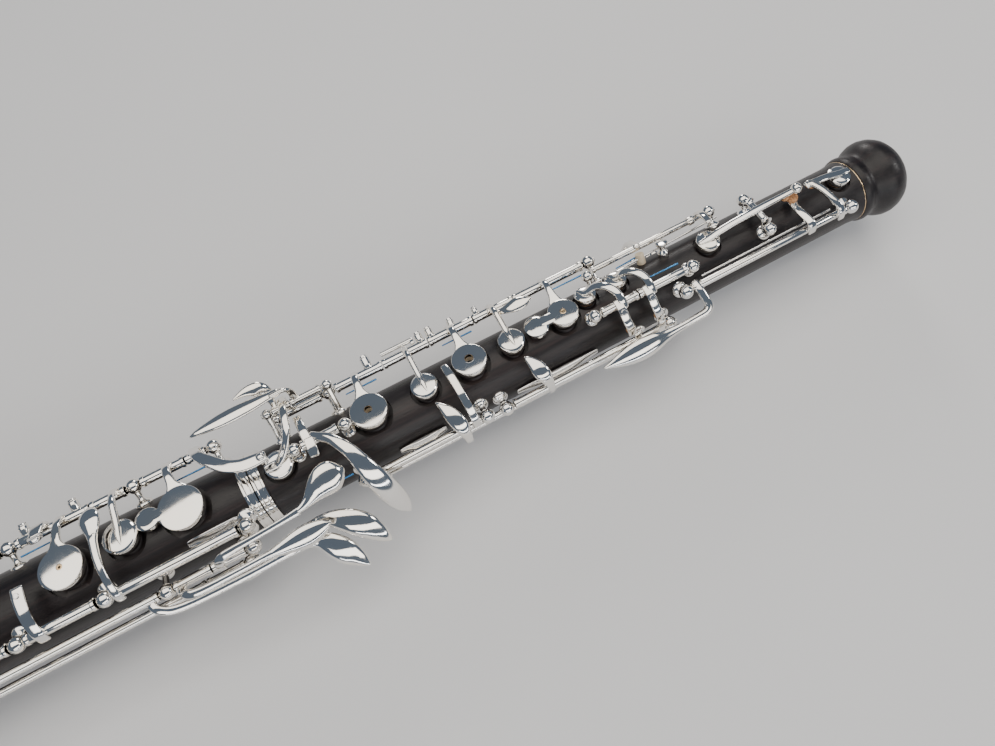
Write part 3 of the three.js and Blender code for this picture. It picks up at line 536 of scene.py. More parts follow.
CROWN = [
    (CROWN_FACE, 5.2), (-5.6, 6.1), (-6.0, 7.4), (-6.7, 8.8), (-7.8, 10.3), (-9.2, 11.6), (-11.0, 12.5),
    (-13.0, 12.9), (-14.6, 12.82), (-16.2, 12.3), (-17.5, 11.55), (-18.5, 10.95), (-19.3, 10.6),
    (-20.1, 10.48), (-20.8, 10.7), (-21.6, 11.0), (-22.6, 11.12), (-23.5, 10.95), (-24.2, 10.6),
    (-24.35, 10.3), (-24.6, 10.28), (-24.75, 10.4), (-26.0, 10.15), (-28.5, 9.95)]


def upper_joint():
    edge = JOIN_X + RING_WIDTH + 0.05
    outer = CROWN + [
        (-120, 10.1), (edge, 10.45), (edge - 0.01, 9.4), (JOIN_X, 9.4), (JOIN_X - 0.01, 7.2),
        (JOIN_X - 1, 7.0), (JOIN_X - 13.2, 7.0), (JOIN_X - 13.5, 6.7)]
    bore = [(JOIN_X - 13.5, 4.5), (CROWN_FACE - 20, 2.3), (CROWN_FACE - 20.01, 3.4),
            (CROWN_FACE - 0.5, 3.7), (CROWN_FACE, 4.1)]
    wooden_joint("upper_joint_wood", "upper_joint", outer, bore, UPPER_HOLES)
    groove = Shell()
    line = filleted([(-24.3, 10.0), (-24.3, 10.42), (-24.7, 10.42), (-24.7, 10.0)], 0.1)
    groove.add(*turned(line, 96))
    make("crown_groove_line", groove, BRASS)


def lower_joint():
    top = JOIN_X - RING_WIDTH - GAP
    foot = BELL_X + RING_WIDTH + 0.05
    outer = [
        (JOIN_X - GAP, 10.2), (top, 10.2), (top - 0.01, 11.3), (-262, 12.0), (-300, 12.6), (foot, 13.1),
        (foot - 0.01, 12.2), (BELL_X, 12.2), (BELL_X - 0.01, 9.7), (BELL_X - 1, 9.5), (BELL_X - 13.2, 9.5),
        (BELL_X - 13.5, 9.2)]
    bore = [(BELL_X - 13.5, 7.4), (JOIN_X - 14.0, 4.6), (JOIN_X - 14.01, 8.5), (JOIN_X - GAP - 0.4, 8.5),
            (JOIN_X - GAP, 8.9)]
    wooden_joint("lower_joint_wood", "lower_joint", outer, bore, LOWER_HOLES)


def bell():
    top = BELL_X - RING_WIDTH - GAP
    outer = [
        (BELL_X - GAP, 12.4), (top, 12.4), (top - 0.01, 13.6), (-480, 13.45), (-490, 13.25), (-510, 13.15),
        (-525, 13.4), (-538, 14.0), (-550, 14.9), (-562, 16.3), (-572, 17.9), (-580, 19.1), (-586, 19.8),
        (-591, 19.95), (-596, 19.7), (-600, 19.1), (-601.8, 18.5), (END_X, 17.6)]
    bore = [
        (END_X, 15.4), (-601.8, 14.8), (-597, 15.1), (-589, 15.8), (-580, 15.4), (-570, 14.0), (-560, 12.4),
        (-545, 10.9), (-530, 9.6), (BELL_X - 14.0, 7.8), (BELL_X - 14.01, 11.0), (BELL_X - GAP - 0.4, 11.0),
        (BELL_X - GAP, 11.4)]
    wooden_joint("bell_wood", "bell", outer, bore, [cup_bell])


def metal_ring(name, node, start, inner, outer):
    """A ring with a turned groove near each edge."""
    shell = Shell()
    low = outer - 0.14
    profile = [(start, inner), (start, outer)]
    profile += [(start - 0.6, outer), (start - 0.75, low), (start - 0.95, outer)]
    profile += [(start - 2.05, outer), (start - 2.25, low), (start - 2.4, outer)]
    profile += [(start - RING_WIDTH, outer), (start - RING_WIDTH, inner)]
    shell.add(*turned(filleted(profile, 0.12, 2), 96))
    make(name, shell, SILVER, "root", (node,))


def tenon_cork(name, node, start, inner, outer):
    shell = Shell()
    profile = [(start, inner), (start - 0.3, outer), (start - 11.2, outer), (start - 11.5, inner)]
    shell.add(*turned(filleted(profile, 0.4), 64))
    make(name, shell, CORK, "root", (node,))


# ---------------------------------------------------------------- posts, screws, springs
def post(name, x, line, surface, size, screws):
    """A turned post: round foot, waist and ball; screws are the sides its pivot screws show on."""
    angle, radius = line
    shell = Shell()
    ball = size + 0.12
    foot = 1.15 * ball
    neck = radius - 0.84 * ball
    middle = (surface + 1.5 + neck) / 2
    profile = [(0, surface - 0.9)]
    profile += [(foot * share, surface + height) for share, height in (
        (0.94, -0.9), (1, 0.1), (0.99, 0.45), (0.88, 0.85), (0.68, 1.15), (0.48, 1.4))]
    profile += [(0.92, min(surface + 1.75, middle)), (0.86, max(middle, surface + 1.8)), (1.0, neck - 0.1)]
    shell.add(*radial(x, angle, profile + ball_profile(ball, radius, -57), 32))
    for side in screws:
        head = plug(0, ball + 0.04, 0.8, 0.15)
        shell.add(*lathe(head, at(x, angle, radius), Vector((side, 0, 0)), 18))
    make(name, shell, SILVER)


def slotted_head(shell, x, angle, top, radius):
    """The head of an adjusting screw: two halves with a slot between them, on a short stem."""
    stem = [(0, top - 2.4), (radius * 0.7, top - 2.4), (radius * 0.7, top - 0.8), (radius, top - 0.8),
            (radius, top - 0.25), (0, top - 0.25)]
    shell.add(*radial(x, angle, filleted(stem, 0.12), 20))
    across = outward(angle).cross(Vector((1, 0, 0)))
    reach = radius * 0.97
    turns = [math.radians(14 + (180 - 2 * 14) * k / 8) for k in range(9)]
    for sign in (-1, 1):
        rim = [(math.cos(turn) * reach, sign * max(math.sin(turn) * reach, 0.22)) for turn in turns]
        points = [at(x, angle, height) + Vector((a * MM, 0, 0)) + across * b * MM
                  for height in (top - 0.3, top) for a, b in rim]
        n = len(rim)
        faces = [tuple(range(n)), tuple(reversed(range(n, 2 * n)))]
        faces += [(k, n + k, n + (k + 1) % n, (k + 1) % n) for k in range(n)]
        shell.add(points, faces)


def straight_spring(name, start, end, radius, end_radius, material):
    shell = Shell()
    shell.add(*wire(at(*start), at(*end), radius, end_radius))
    make(name, shell, material)


def all_posts():
    places = [(x, line, UPPER_RADIUS, size) for xs, line, size in (
        ((-33.6, -95.2), OCTAVE, POST_SIZE),
        ((-90.2, -124.6), TRILL, 1.9),
        ((LEVER_X,), (LEVER_ANGLE - 27, 14.6), 1.9),
        ((LEVER_X,), (LEVER_ANGLE + 28, 14.6), 1.9),
        ((-73.2,), OCTAVE_LINK, 1.9),
        ((-118.5,), (40, 14.2), 1.7),
        ((-89.5, -110.5), THUMB, 1.7),
        ((-103, -159.9), TRILL_LEVER_A, POST_SIZE),
        ((-111, -203.2), TRILL_LEVER_B, 1.7),
        ((-166.3, -205.5), CROSS, POST_SIZE),
        ((-114.9, -204.5, -221.6), LEFT_STACK, POST_SIZE),
        ((-203.6, -222.6), TRILL_TOUCH, 1.5),
        ((-203.6, -219), G_TOUCH, 1.8)) for x in xs]
    places += [(x, line, LOWER_RADIUS, size) for xs, line, size in (
        ((-240, -264.2, -300.6, -327.4, -378.8), RIGHT_STACK, POST_SIZE),
        ((-359, -404.9), LOW_C_HINGE, POST_SIZE),
        ((-239.2, -279.7, -303.7, -358.5), NEAR_TOP, 2.2),
        ((-240.4, -265.6, -466.5), NEAR_MIDDLE, POST_SIZE),
        ((-243.5, -454.5), NEAR_LOW, POST_SIZE)) for x in xs]
    places += [(x, BELL_HINGE, 12.9, POST_SIZE) for x in (-486, -517.5)]
    for number, (x, line, surface, size) in enumerate(places, 1):
        post(f"post_{number:02d}", x, line, surface, size, (1,) if x == LEVER_X else (-1, 1))


def all_needles():
    """Blued needle springs beside the hinge tubes."""
    for name, x_from, x_to, angle, radius, turn in (
            ("half_hole", -119, -131, 50, 14.6, 1),
            ("a", -158, -168, 50, 14.4, 1),
            ("g", -190, -200, 50, 14.4, -1),
            ("trill", -93, -103, -8, 12.6, 1),
            ("link", -100, -109, 42, 12.4, -4),
            ("near", -208, -219, -60, 13.2, 0),
            ("f_sharp", -244, -256, 44, 14.4, 1),
            ("e", -298, -287, 44, 15, 1)):
        straight_spring("needle_spring_" + name, (x_from, angle, radius), (x_to, angle + turn, radius),
                        0.3, 0.2, STEEL)


# ---------------------------------------------------------------- keys
class Key:
    """The pieces of one key, gathered by material. They are drawn with the pad down and then lifted."""

    def __init__(self, body, hinge, lift=0.0):
        self.body, self.hinge, self.lift = body, hinge, lift
        self.shells = {}
        self.nodes = {SILVER: [body]}

    def shell(self, material=SILVER):
        return self.shells.setdefault(material, Shell())

    def add(self, form, material=SILVER):
        self.shell(material).add(*form)
        return self

    def tube(self, x_from, x_to, radius=TUBE_RADIUS):
        """A hinge tube with a collar at each end."""
        self.add(along(x_from, x_to, self.hinge, radius))
        for x in (max(x_from, x_to), min(x_from, x_to) + COLLAR_WIDTH):
            self.add(along(x, x - COLLAR_WIDTH, self.hinge, radius + COLLAR_STEP, 24))
        return self

    def arm(self, *stations, thick=0.75, power=3.4, facing=None):
        """A bar. A station without a half thickness of its own takes thick."""
        full = [(*station, thick)[:5] for station in stations]
        return self.add(swept(full, power, sides=16, detail=7, facing=facing))

    def touch(self, *stations, facing=None):
        """A spoon for a finger, which is well domed wherever it is wide."""
        domed = [(*station[:4], max([DOME_SHARE * station[3], *station[4:]])) for station in stations]
        return self.add(swept(domed, power=2.0, sides=28, detail=9, facing=facing))

    def plate(self, spot, hole=0.0, bushing=0.0):
        """A finger plate: a gently domed top, a crisp rim, a thin wall, and a hole if it is a ring plate."""
        s, r = spot.surface, spot.size
        top, low = s + CUP_TOP, s + 0.35
        inner = max(hole, bushing)
        reach = r - 0.3 - inner
        dome = [(inner + reach * k / 8, top - 0.26 * ((inner + reach * k / 8) / r) ** 2) for k in range(9)]
        wall = [(r - 0.1, top - 0.3), (r, top - 0.45), (r, low + 0.25), (r - 0.15, low), (r - 0.4, low),
                (r - 0.5, s + CUP_BOTTOM + 0.35), (inner, s + CUP_BOTTOM + 0.35)]
        self.add(radial(spot.x, spot.angle, dome + wall, 64, closed=inner > 0))
        if hole:
            rim = filleted([(hole, top - 0.5), (hole, top - 0.02), (hole + 0.28, top - 0.02),
                            (hole + 0.34, top - 0.5)], 0.08, 2)
            self.add(radial(spot.x, spot.angle, rim, 32, closed=True))
        if bushing:
            base = s + CUP_BOTTOM + 0.4
            lining = filleted([(0.3, base), (0.3, top + 0.04), (bushing, top + 0.04), (bushing, base)], 0.12)
            self.add(radial(spot.x, spot.angle, lining, 32, closed=True), BRASS)
        return self

    def lobe(self, x, angle, top, radii, drop):
        """The small round ear of a plate; radii are its crown's, shoulder's, rim's and foot's."""
        crown, shoulder, rim, foot = radii
        section = [(0, top - 0.1), (crown, top - 0.14), (shoulder, top - drop), (rim, top - 0.5),
                   (rim, top - 1.5), (foot, top - 1.6), (0, top - 1.6)]
        return self.add(radial(x, angle, section, 48))

    def cup(self, spot):
        """A small cup: a stepped rim round a low crown."""
        s, r = spot.surface, spot.size
        top, low = s + CUP_TOP, s + 0.35
        section = [(0, top), (r * 0.5, top - 0.03), (r - 0.75, top - 0.12), (r - 0.6, top - 0.18),
                   (r - 0.45, top - 0.36), (r - 0.12, top - 0.52), (r, top - 0.77), (r, low + 0.2),
                   (r - 0.15, low), (r - 0.4, low), (r - 0.5, s + CUP_BOTTOM + 0.3),
                   (0, s + CUP_BOTTOM + 0.3)]
        return self.add(radial(spot.x, spot.angle, section, 56))

    def pad(self, spot, node=None, material=SKIN, hole=0.0):
        s, r = spot.surface, spot.size - 0.55
        low, top = s + PAD_BOTTOM, s + PAD_TOP
        inner = hole + 0.05 if hole else 0
        section = filleted([(inner, low), (r - 0.25, low), (r, low + 0.3), (r, top - 0.2), (r - 0.2, top),
                            (inner, top)], 0.25)
        self.add(radial(spot.x, spot.angle, section, 56, closed=hole > 0), material)
        if node:
            self.nodes.setdefault(material, []).append(node)
        return self

    def neck(self, spot, x=None, narrow=1.05):
        """The forged arm of a finger plate: it leaves the tube, rises and flares into the plate's edge."""
        x = spot.x if x is None else x
        angle, radius = self.hinge
        top = spot.surface + CUP_TOP
        edge = math.degrees(math.atan2(spot.size, top)) * (1 if angle > 0 else -1) + spot.angle
        step = edge - angle
        return self.arm(
            (x, angle - 0.1 * step, radius + 0.95, narrow + 0.35, 0.7),
            (x, angle + 0.12 * step, radius + 1.25, narrow + 0.2, 0.75),
            (x + 0.2 * (spot.x - x), angle + 0.45 * step, radius + 0.45, narrow, 0.72),
            (x + 0.7 * (spot.x - x), angle + 0.8 * step, top + 0.75 + 0.2 * (radius - top), narrow + 0.35,
             0.66),
            (spot.x, angle + step, top - 0.12, spot.size * 0.48, 0.56),
            (spot.x, angle + 1.13 * step, top - 0.55, spot.size * 0.62, 0.5), power=3.0)

    def blade(self, spot, x=None, *, width):
        """The ridged arm of a small cup, which tapers to a point past the cup's middle."""
        x = spot.x if x is None else x
        angle, radius = self.hinge
        top = spot.surface + CUP_TOP
        step = spot.angle - angle
        past = spot.angle - math.copysign(math.degrees(spot.size * 0.55 / top), angle)
        return self.arm(
            (x, angle - 0.05 * step, radius + 0.95, width + 0.25, 0.75),
            (x, angle + 0.14 * step, radius + 1.35, width + 0.1, 0.9),
            (x, angle + 0.42 * step, max(radius, top) + 0.5, width, 0.95),
            (x + 0.6 * (spot.x - x), angle + 0.72 * step, top + 0.62, width, 0.9),
            (spot.x, spot.angle, top + 0.2, width * 0.8, 0.55),
            (spot.x, past, top - 0.05, width * 0.25, 0.3), power=2.2)

    def barrel(self, x, angle, top, radius=1.25):
        """An adjusting screw's barrel, which stands on the tube."""
        base = self.hinge[1] - 0.4
        section = [(0, base), (radius * 0.85, base), (radius * 0.8, base + 1.2), (radius, base + 1.6),
                   (radius, top - 0.7), (0, top - 0.7)]
        self.add(radial(x, angle, filleted(section, 0.2), 24))
        slotted_head(self.shell(), x, angle, top, radius * 0.8)
        return self

    def done(self):
        names = {SILVER: "metal", SKIN: "pad_skin", CORK: "cork_facing", BRASS: "bushing", BRIGHT: "fitting"}
        for material, shell in self.shells.items():
            shell.turn(self.hinge, self.lift)
            nodes = tuple(self.nodes.get(material, ()))
            make(f"{self.body}_{names[material]}", shell, material, self.body, nodes)


def octave_keys():
    key = Key("second_octave_key", OCTAVE)
    key.tube(-36.2, -92.7, 1.2)
    key.arm(
        (-38.9, -51, 15.3, 1.15), (-38.95, -45, 16.3, 1.15), (-39.1, -37, 16.7, 1.1),
        (-40.2, -25, 16.2, 1.05), (-41.3, -12, 16.0, 1.05), (-42.7, -1, 16.1, 1.1),
        (-43.9, 3, 16.0, 1.1, 0.6), thick=0.65, power=4)
    key.arm(
        (-44.6, 1.4, 15.9, 1.15, 0.55), (-39.4, 1, 15.5, 1.15, 0.6), (-35, 1, 14.6, 1.1, 0.55),
        (-31.2, 1, 13.5, 1.0, 0.5), (-27.6, 1, 12.9, 0.9, 0.35), power=4)
    key.cup(second_octave).pad(second_octave, material=CORK)
    key.arm(
        (-49.6, -51, 15, 1.35), (-49.7, -44, 16.2, 1.35), (-49.9, -37, 16.1, 1.3), (-50.3, -25, 14.3, 1.3),
        (-50.2, -12, 12.9, 1.3), (-49.4, 1, 12.4, 1.6, 0.45), (-48.8, 6, 12.4, 1.6, 0.45), thick=0.5,
        power=4)
    key.add(block(-49.3, 2, 12.5, 13.5, 1.9), CORK)
    key.add(block(-42.6, 1, 14.4, 15.5, 1.2), CORK)
    key.arm(
        (-91.7, -42, 14.1, 1.35), (-91.3, -50, 15.4, 1.35), (-90.9, -60, 17.1, 1.35),
        (-90.9, -66.6, 18.3, 1.35), (-92.4, -69.6, 19, 1.3, 1.0), (-95.6, -70, 19.2, 1.2, 0.9),
        (-99, -70, 19.4, 1.15, 0.8), thick=1.1, power=2.6, facing=SIDE_FACING)
    key.touch(
        (-97, -70, 19.3, 1.15, 0.8), (-102, -69.8, 19.6, 1.25, 0.8), (-107, -69.3, 20, 1.7, 0.85),
        (-111.4, -69, 20.3, 2.8), (-115.4, -69, 20.4, 3.3), (-119.4, -69, 20.4, 3.1),
        (-123.6, -69, 20.4, 2.1), (-127, -69, 20.3, 1.05, 0.6), (-129, -69, 20.2, 0.4, 0.35),
        facing=SIDE_FACING)
    key.done()

    key = Key("first_octave_key", (LEVER_ANGLE, LEVER_RADIUS))
    tangent = Vector((0, math.cos(math.radians(LEVER_ANGLE)), -math.sin(math.radians(LEVER_ANGLE))))
    middle = at(LEVER_X, LEVER_ANGLE, LEVER_RADIUS)
    key.add(lathe(plug(-4.6, 4.6, 1.2), middle, tangent, 24))
    for side in (-1, 1):
        trumpet = [(0, 0), (1.25, 0), (1.3, 0.5), (1.5, 0.9), (1.85, 1.25), (1.85, 1.4), (0, 1.4)]
        key.add(lathe(trumpet, middle + tangent * side * 3.2 * MM, tangent * side, 24))
    key.cup(first_octave).pad(first_octave, material=CORK)
    key.arm(
        (-83.4, 3, 13.0, 0.6, 0.35), (-80.4, 3, 13.2, 1.1, 0.5), (-77, 3, 14.1, 1.15, 0.65),
        (-71, 3, 15.1, 1.15, 0.75), (LEVER_X, 3, 15.7, 1.15, 0.8), (-55, 3, 16.0, 1.0, 0.7),
        (-49, 3, 16.2, 0.9, 0.6), power=3.4)
    key.add(radial(-48.4, 3, [(0, 15.0), (1.1, 15.0)] + ball_profile(1.75, 16.5, -45), 28))
    key.add(block(-52.4, 3, 14.3, 15.2, 1.3), CORK)
    key.done()

    key = Key("octave_link", OCTAVE_LINK)
    key.tube(-75.4, -116.3, 1.0)
    key.add(along(-79.2, -81, OCTAVE_LINK, 1.45, 24))
    key.arm(
        (-76.6, 48, 15.8, 1.1, 0.65), (-77.0, 38, 16.6, 1.1, 0.65), (-77.6, 26, 16.7, 1.0, 0.6),
        (-78, 17, 16.3, 0.9, 0.5))
    key.arm(
        (-100, 41, 15.6, 1.2), (-100, 58, 16.5, 1.1), (-100, 72, 16.3, 1.1), (-100, 84, 15.8, 1.3, 0.6),
        thick=0.7)
    key.done()

    key = Key("thumb_octave_key", THUMB)
    key.tube(-91.5, -108.5, 1.1)
    key.arm(
        (-97, 107, 14.8, 1.1), (-97, 118, 15.5, 1.1), (-97, 135, 15.8, 1.3), (-97.4, 155, 15.7, 1.6, 0.65),
        (-98, 172, 15.8, 2.0, 0.6), thick=0.7)
    key.touch(
        (-88, 180, 15.6, 0.8, 0.5), (-89.6, 180, 15.75, 2.6), (-93, 180, 15.95, 4.3), (-99, 180, 16.1, 5.0),
        (-105, 180, 16.0, 4.4), (-109, 180, 15.85, 3.0), (-111, 180, 15.7, 1.0, 0.5))
    key.done()


def trill_keys():
    for body, spot, x, x_from, x_to in (
            ("trill_key_upper", trill_d, -105.6, -92.5, -109.6),
            ("trill_key_lower", trill_c, -115.5, -110, -122.3)):
        key = Key(body, TRILL)
        key.tube(x_from, x_to).cup(spot).pad(spot, material=CORK)
        top = spot.surface + CUP_TOP
        key.arm(
            (x + 0.3, -27, 15.1, 1.3), (x, -19, 16.1, 1.3), (x - 0.4, -9, 16.7, 1.3),
            (x - 2.2, 2, 16.6, 1.3), (x - 4.6, 11, 15.2, 1.3, 0.7),
            (spot.x - 0.2, spot.angle, top + 0.25, 1.2, 0.5),
            (spot.x - 1.6, spot.angle + 10, top - 0.1, 0.5, 0.3), power=2.8)
        key.arm(
            (x - 1.2, -18, 15.6, 1.35), (x - 1.2, -28, 16.2, 1.4), (x - 1.2, -40, 16.0, 1.35),
            (x - 0.6, -52, 15.6, 1.35), (x - 0.3, -61, 15.1, 1.35), thick=0.5, power=4)
        key.add(block(x - 1.2, -32, 15.9, 17.0, 0.95, 0.15, 20), BRIGHT)
        key.add(block(x - 0.4, -56, 13.9, 15.1, 1.35), CORK)
        key.done()

    key = Key("left_trill_lever_upper", TRILL_LEVER_A)
    key.tube(-105.4, -157.3)
    key.arm((-107, -75, 16, 1.2), (-106.9, -69, 16.7, 1.2), (-106.4, -60, 16.8, 1.2), thick=0.5, power=4)
    key.arm(
        (-145.1, -82, 15.9, 0.9, 0.6), (-145.2, -74, 16.6, 1.05, 0.7), (-145.5, -65, 17.0, 1.3, 0.75),
        (-146, -56, 17.0, 1.9, 0.85))
    key.touch(
        (-145.4, -67, 16.95, 1.2, 0.7), (-145.8, -59, 17.05, 1.7, 0.8), (-146.4, -51, 16.8, 2.4),
        (-147.1, -43, 16.0, 2.4), (-147.9, -35, 15.0, 1.6, 0.75), (-148.6, -29, 14.3, 0.9, 0.55),
        (-148.9, -27, 14.0, 0.4, 0.35))
    key.done()

    key = Key("left_trill_lever_lower", TRILL_LEVER_B)
    key.tube(-113.1, -201.1, 1.1)
    key.arm(
        (-115, -90, 14.4, 1.1), (-115, -87, 16.2, 1.1), (-115, -81, 17.2, 1.1), (-115, -70, 17.2, 1.1, 0.4),
        (-115, -60, 16.8, 1.1, 0.4), thick=0.5, power=4)
    key.arm(
        (-174, -90, 14.4, 1.0, 0.65), (-174, -87, 16.2, 1.05, 0.65), (-174, -80, 18.0, 1.15, 0.7),
        (-174.1, -72, 18.7, 1.25, 0.75), (-174.2, -64, 18.7, 1.5, 0.8))
    key.touch(
        (-174.1, -74, 18.6, 1.2, 0.7), (-174.3, -65, 18.75, 1.7, 0.8), (-174.7, -56, 18.1, 2.3),
        (-175.5, -47, 16.9, 2.4), (-176.5, -38, 15.7, 1.8, 0.8), (-177.4, -31, 14.7, 0.9, 0.55),
        (-178.0, -27, 14.1, 0.4, 0.35))
    key.done()

    key = Key("cross_bridge_key", CROSS)
    key.tube(-168.6, -203.1, 1.3)
    key.arm(
        (-170.2, -68, 17.1, 1.25), (-170.2, -60, 17.7, 1.25), (-170.3, -46, 17.3, 1.2),
        (-170.6, -28, 16.6, 1.2), (-170.8, -10, 15.6, 1.2, 0.5), (-171, 1, 15.0, 1.15, 0.5),
        (-171.1, 8, 14.8, 1.0, 0.4), thick=0.55, power=4)
    key.done()


def left_hand_plates():
    key = Key("half_hole_key", LEFT_STACK, STAND_OPEN)
    key.tube(-117.4, -141.7, STACK_RADIUS).plate(plate_b, bushing=1.0).neck(plate_b, -131.4, 0.95)
    key.pad(plate_b, "half_hole_pad")
    top = plate_b.surface + CUP_TOP
    key.lobe(-141.2, 1, top, (2.4, 3.5, 3.72, 3.4), 0.28)
    key.arm((-135.4, 2.4, top - 0.62, 1.9, 0.5), (-139.5, 2.8, top - 0.62, 1.9, 0.5), power=4)
    key.done()

    for body, spot, x_from, x_to, width in (
            ("c_key", cup_c, -142.1, -155.7, 0.95), ("b_flat_key", cup_b, -171.4, -186.3, 0.9)):
        key = Key(body, LEFT_STACK, STAND_OPEN)
        key.tube(x_from, x_to, STACK_RADIUS).cup(spot).blade(spot, width=width)
        if body == "c_key":
            key.pad(spot, material=CORK)
            key.touch(
                (-148.6, 36, 16.8, 0.9, 0.5), (-146.4, 30, 17.4, 1.5), (-143.6, 27, 17.8, 2.2),
                (-141, 26.4, 17.8, 1.8), (-138.8, 26, 17.8, 0.4, 0.35), facing=-10)
            key.barrel(-154, 60, 20.6, 1.1)
        else:
            key.pad(spot, "b_flat_pad").barrel(-173, 62, 21.4)
            key.add(along(-175, -185.6, (64, 20.1), 0.75))
            key.arm((-175.4, 62, 19, 0.7, 0.5), (-175.4, 64, 20.2, 0.7, 0.5))
        key.done()

    key = Key("a_key", LEFT_STACK, STAND_OPEN)
    key.tube(-156.1, -171, STACK_RADIUS).plate(plate_a, hole=1.35).neck(plate_a)
    key.pad(plate_a, "a_pad", hole=1.35).barrel(-162.2, 64, 20.9, 1.2).barrel(-169.5, 62, 21.4, 1.25)
    key.done()

    key = Key("g_key", LEFT_STACK, STAND_OPEN)
    key.tube(-186.7, -202.1, STACK_RADIUS).plate(plate_g, hole=1.2).neck(plate_g, -195.4)
    key.pad(plate_g, "g_pad", hole=1.2).barrel(-190.6, 62, 22.2, 1.45)
    key.done()


def g_sharp_keys():
    key = Key("g_sharp_touch", G_TOUCH)
    key.tube(-205.8, -216.8)
    key.arm(
        (-214.6, 0, 16.5, 1.3), (-214.7, 12, 16.9, 1.3), (-214.9, 22, 17.0, 1.25),
        (-215, 30, 17.1, 1.2, 0.45), thick=0.5, power=4)
    key.arm(
        (-214.2, 0, 16.6, 1.4, 0.5), (-214.4, -10, 15.9, 1.5, 0.45), (-214.6, -17, 15.3, 1.3, 0.4), power=4)
    key.add(block(-214.4, -14, 14.2, 15.3, 1.15), CORK)
    key.touch(
        (-213, 3, 16.2, 1.1, 0.75), (-211.4, -3, 17.0, 1.3, 0.8), (-209, -10, 18.0, 1.55, 0.85),
        (-207, -19, 19.0, 1.8, 0.9), (-205, -30, 19.9, 2.1, 0.95), (-203.5, -44, 20.6, 2.7),
        (-202.2, -58, 21.3, 3.25), (-201, -72, 22.2, 3.4), (-200, -83, 23.4, 3.0), (-199.1, -91, 25.0, 2.0),
        (-198.5, -96, 26.1, 0.5, 0.4), facing=TOUCH_FACING)
    key.done()

    key = Key("g_sharp_key", LEFT_STACK)
    key.tube(-206.9, -219.1, STACK_RADIUS).cup(cup_g_sharp).pad(cup_g_sharp, "g_sharp_pad")
    key.arm(
        (-217, 60.5, 17.6, 1.1), (-217, 59.4, 20.2, 1.1), (-217, 54, 21.6, 1.1), (-217, 46, 21.9, 1.1),
        (-217, 36, 21.6, 1.1), (-217.4, 26, 20.7, 1.1), (-218.5, 15, 18.7, 1.1), (-220.6, 7, 16.2, 1.15),
        (-223, 0.6, 14.2, 1.2, 0.5), (-225.4, -4.4, 13.1, 1.0, 0.4), thick=0.6, power=3)
    key.arm(
        (-224.4, -3.6, 13.0, 1.4, 0.35), (-226.6, -3.4, 12.98, 1.45, 0.35), (-228.6, -3, 12.95, 1.2, 0.3))
    key.done()

    key = Key("trill_touch_upper", TRILL_TOUCH)
    key.tube(-205.6, -215, 1.0)
    key.arm(
        (-213.4, 49.4, 20.1, 1.2), (-213.4, 47.4, 22.2, 1.1), (-213.9, 45, 23.9, 1.1),
        (-215.6, 43, 24.8, 1.15), (-218.6, 41.6, 25, 1.25), thick=0.7, power=2.6)
    key.touch(
        (-216.6, 42.4, 24.95, 1.2, 0.7), (-219.6, 41.6, 25.05, 1.35, 0.7), (-224, 41.6, 25, 1.9, 0.8),
        (-229, 41.8, 24.95, 2.2), (-234, 42.2, 24.8, 2.1), (-238.8, 43, 24.6, 1.4, 0.7),
        (-241.8, 43.6, 24.4, 0.8, 0.5), (-243.2, 44, 24.2, 0.35, 0.3), facing=0)
    key.done()

    key = Key("trill_touch_lower", TRILL_TOUCH)
    key.tube(-215.4, -220.8, 1.0)
    key.touch(
        (-219.6, 51.8, 20.2, 0.9, 0.65), (-219.7, 53.2, 22.2, 1.1, 0.65), (-219.9, 53.2, 24.2, 1.9),
        (-220.4, 52, 25.8, 2.4), (-221.4, 50.6, 27.2, 2.3), (-223, 49.6, 28, 1.8),
        (-225, 49, 28.3, 1.2, 0.55), (-227.4, 49, 28, 0.6, 0.4), (-228.4, 49, 27.8, 0.35, 0.3), facing=-24)
    key.done()


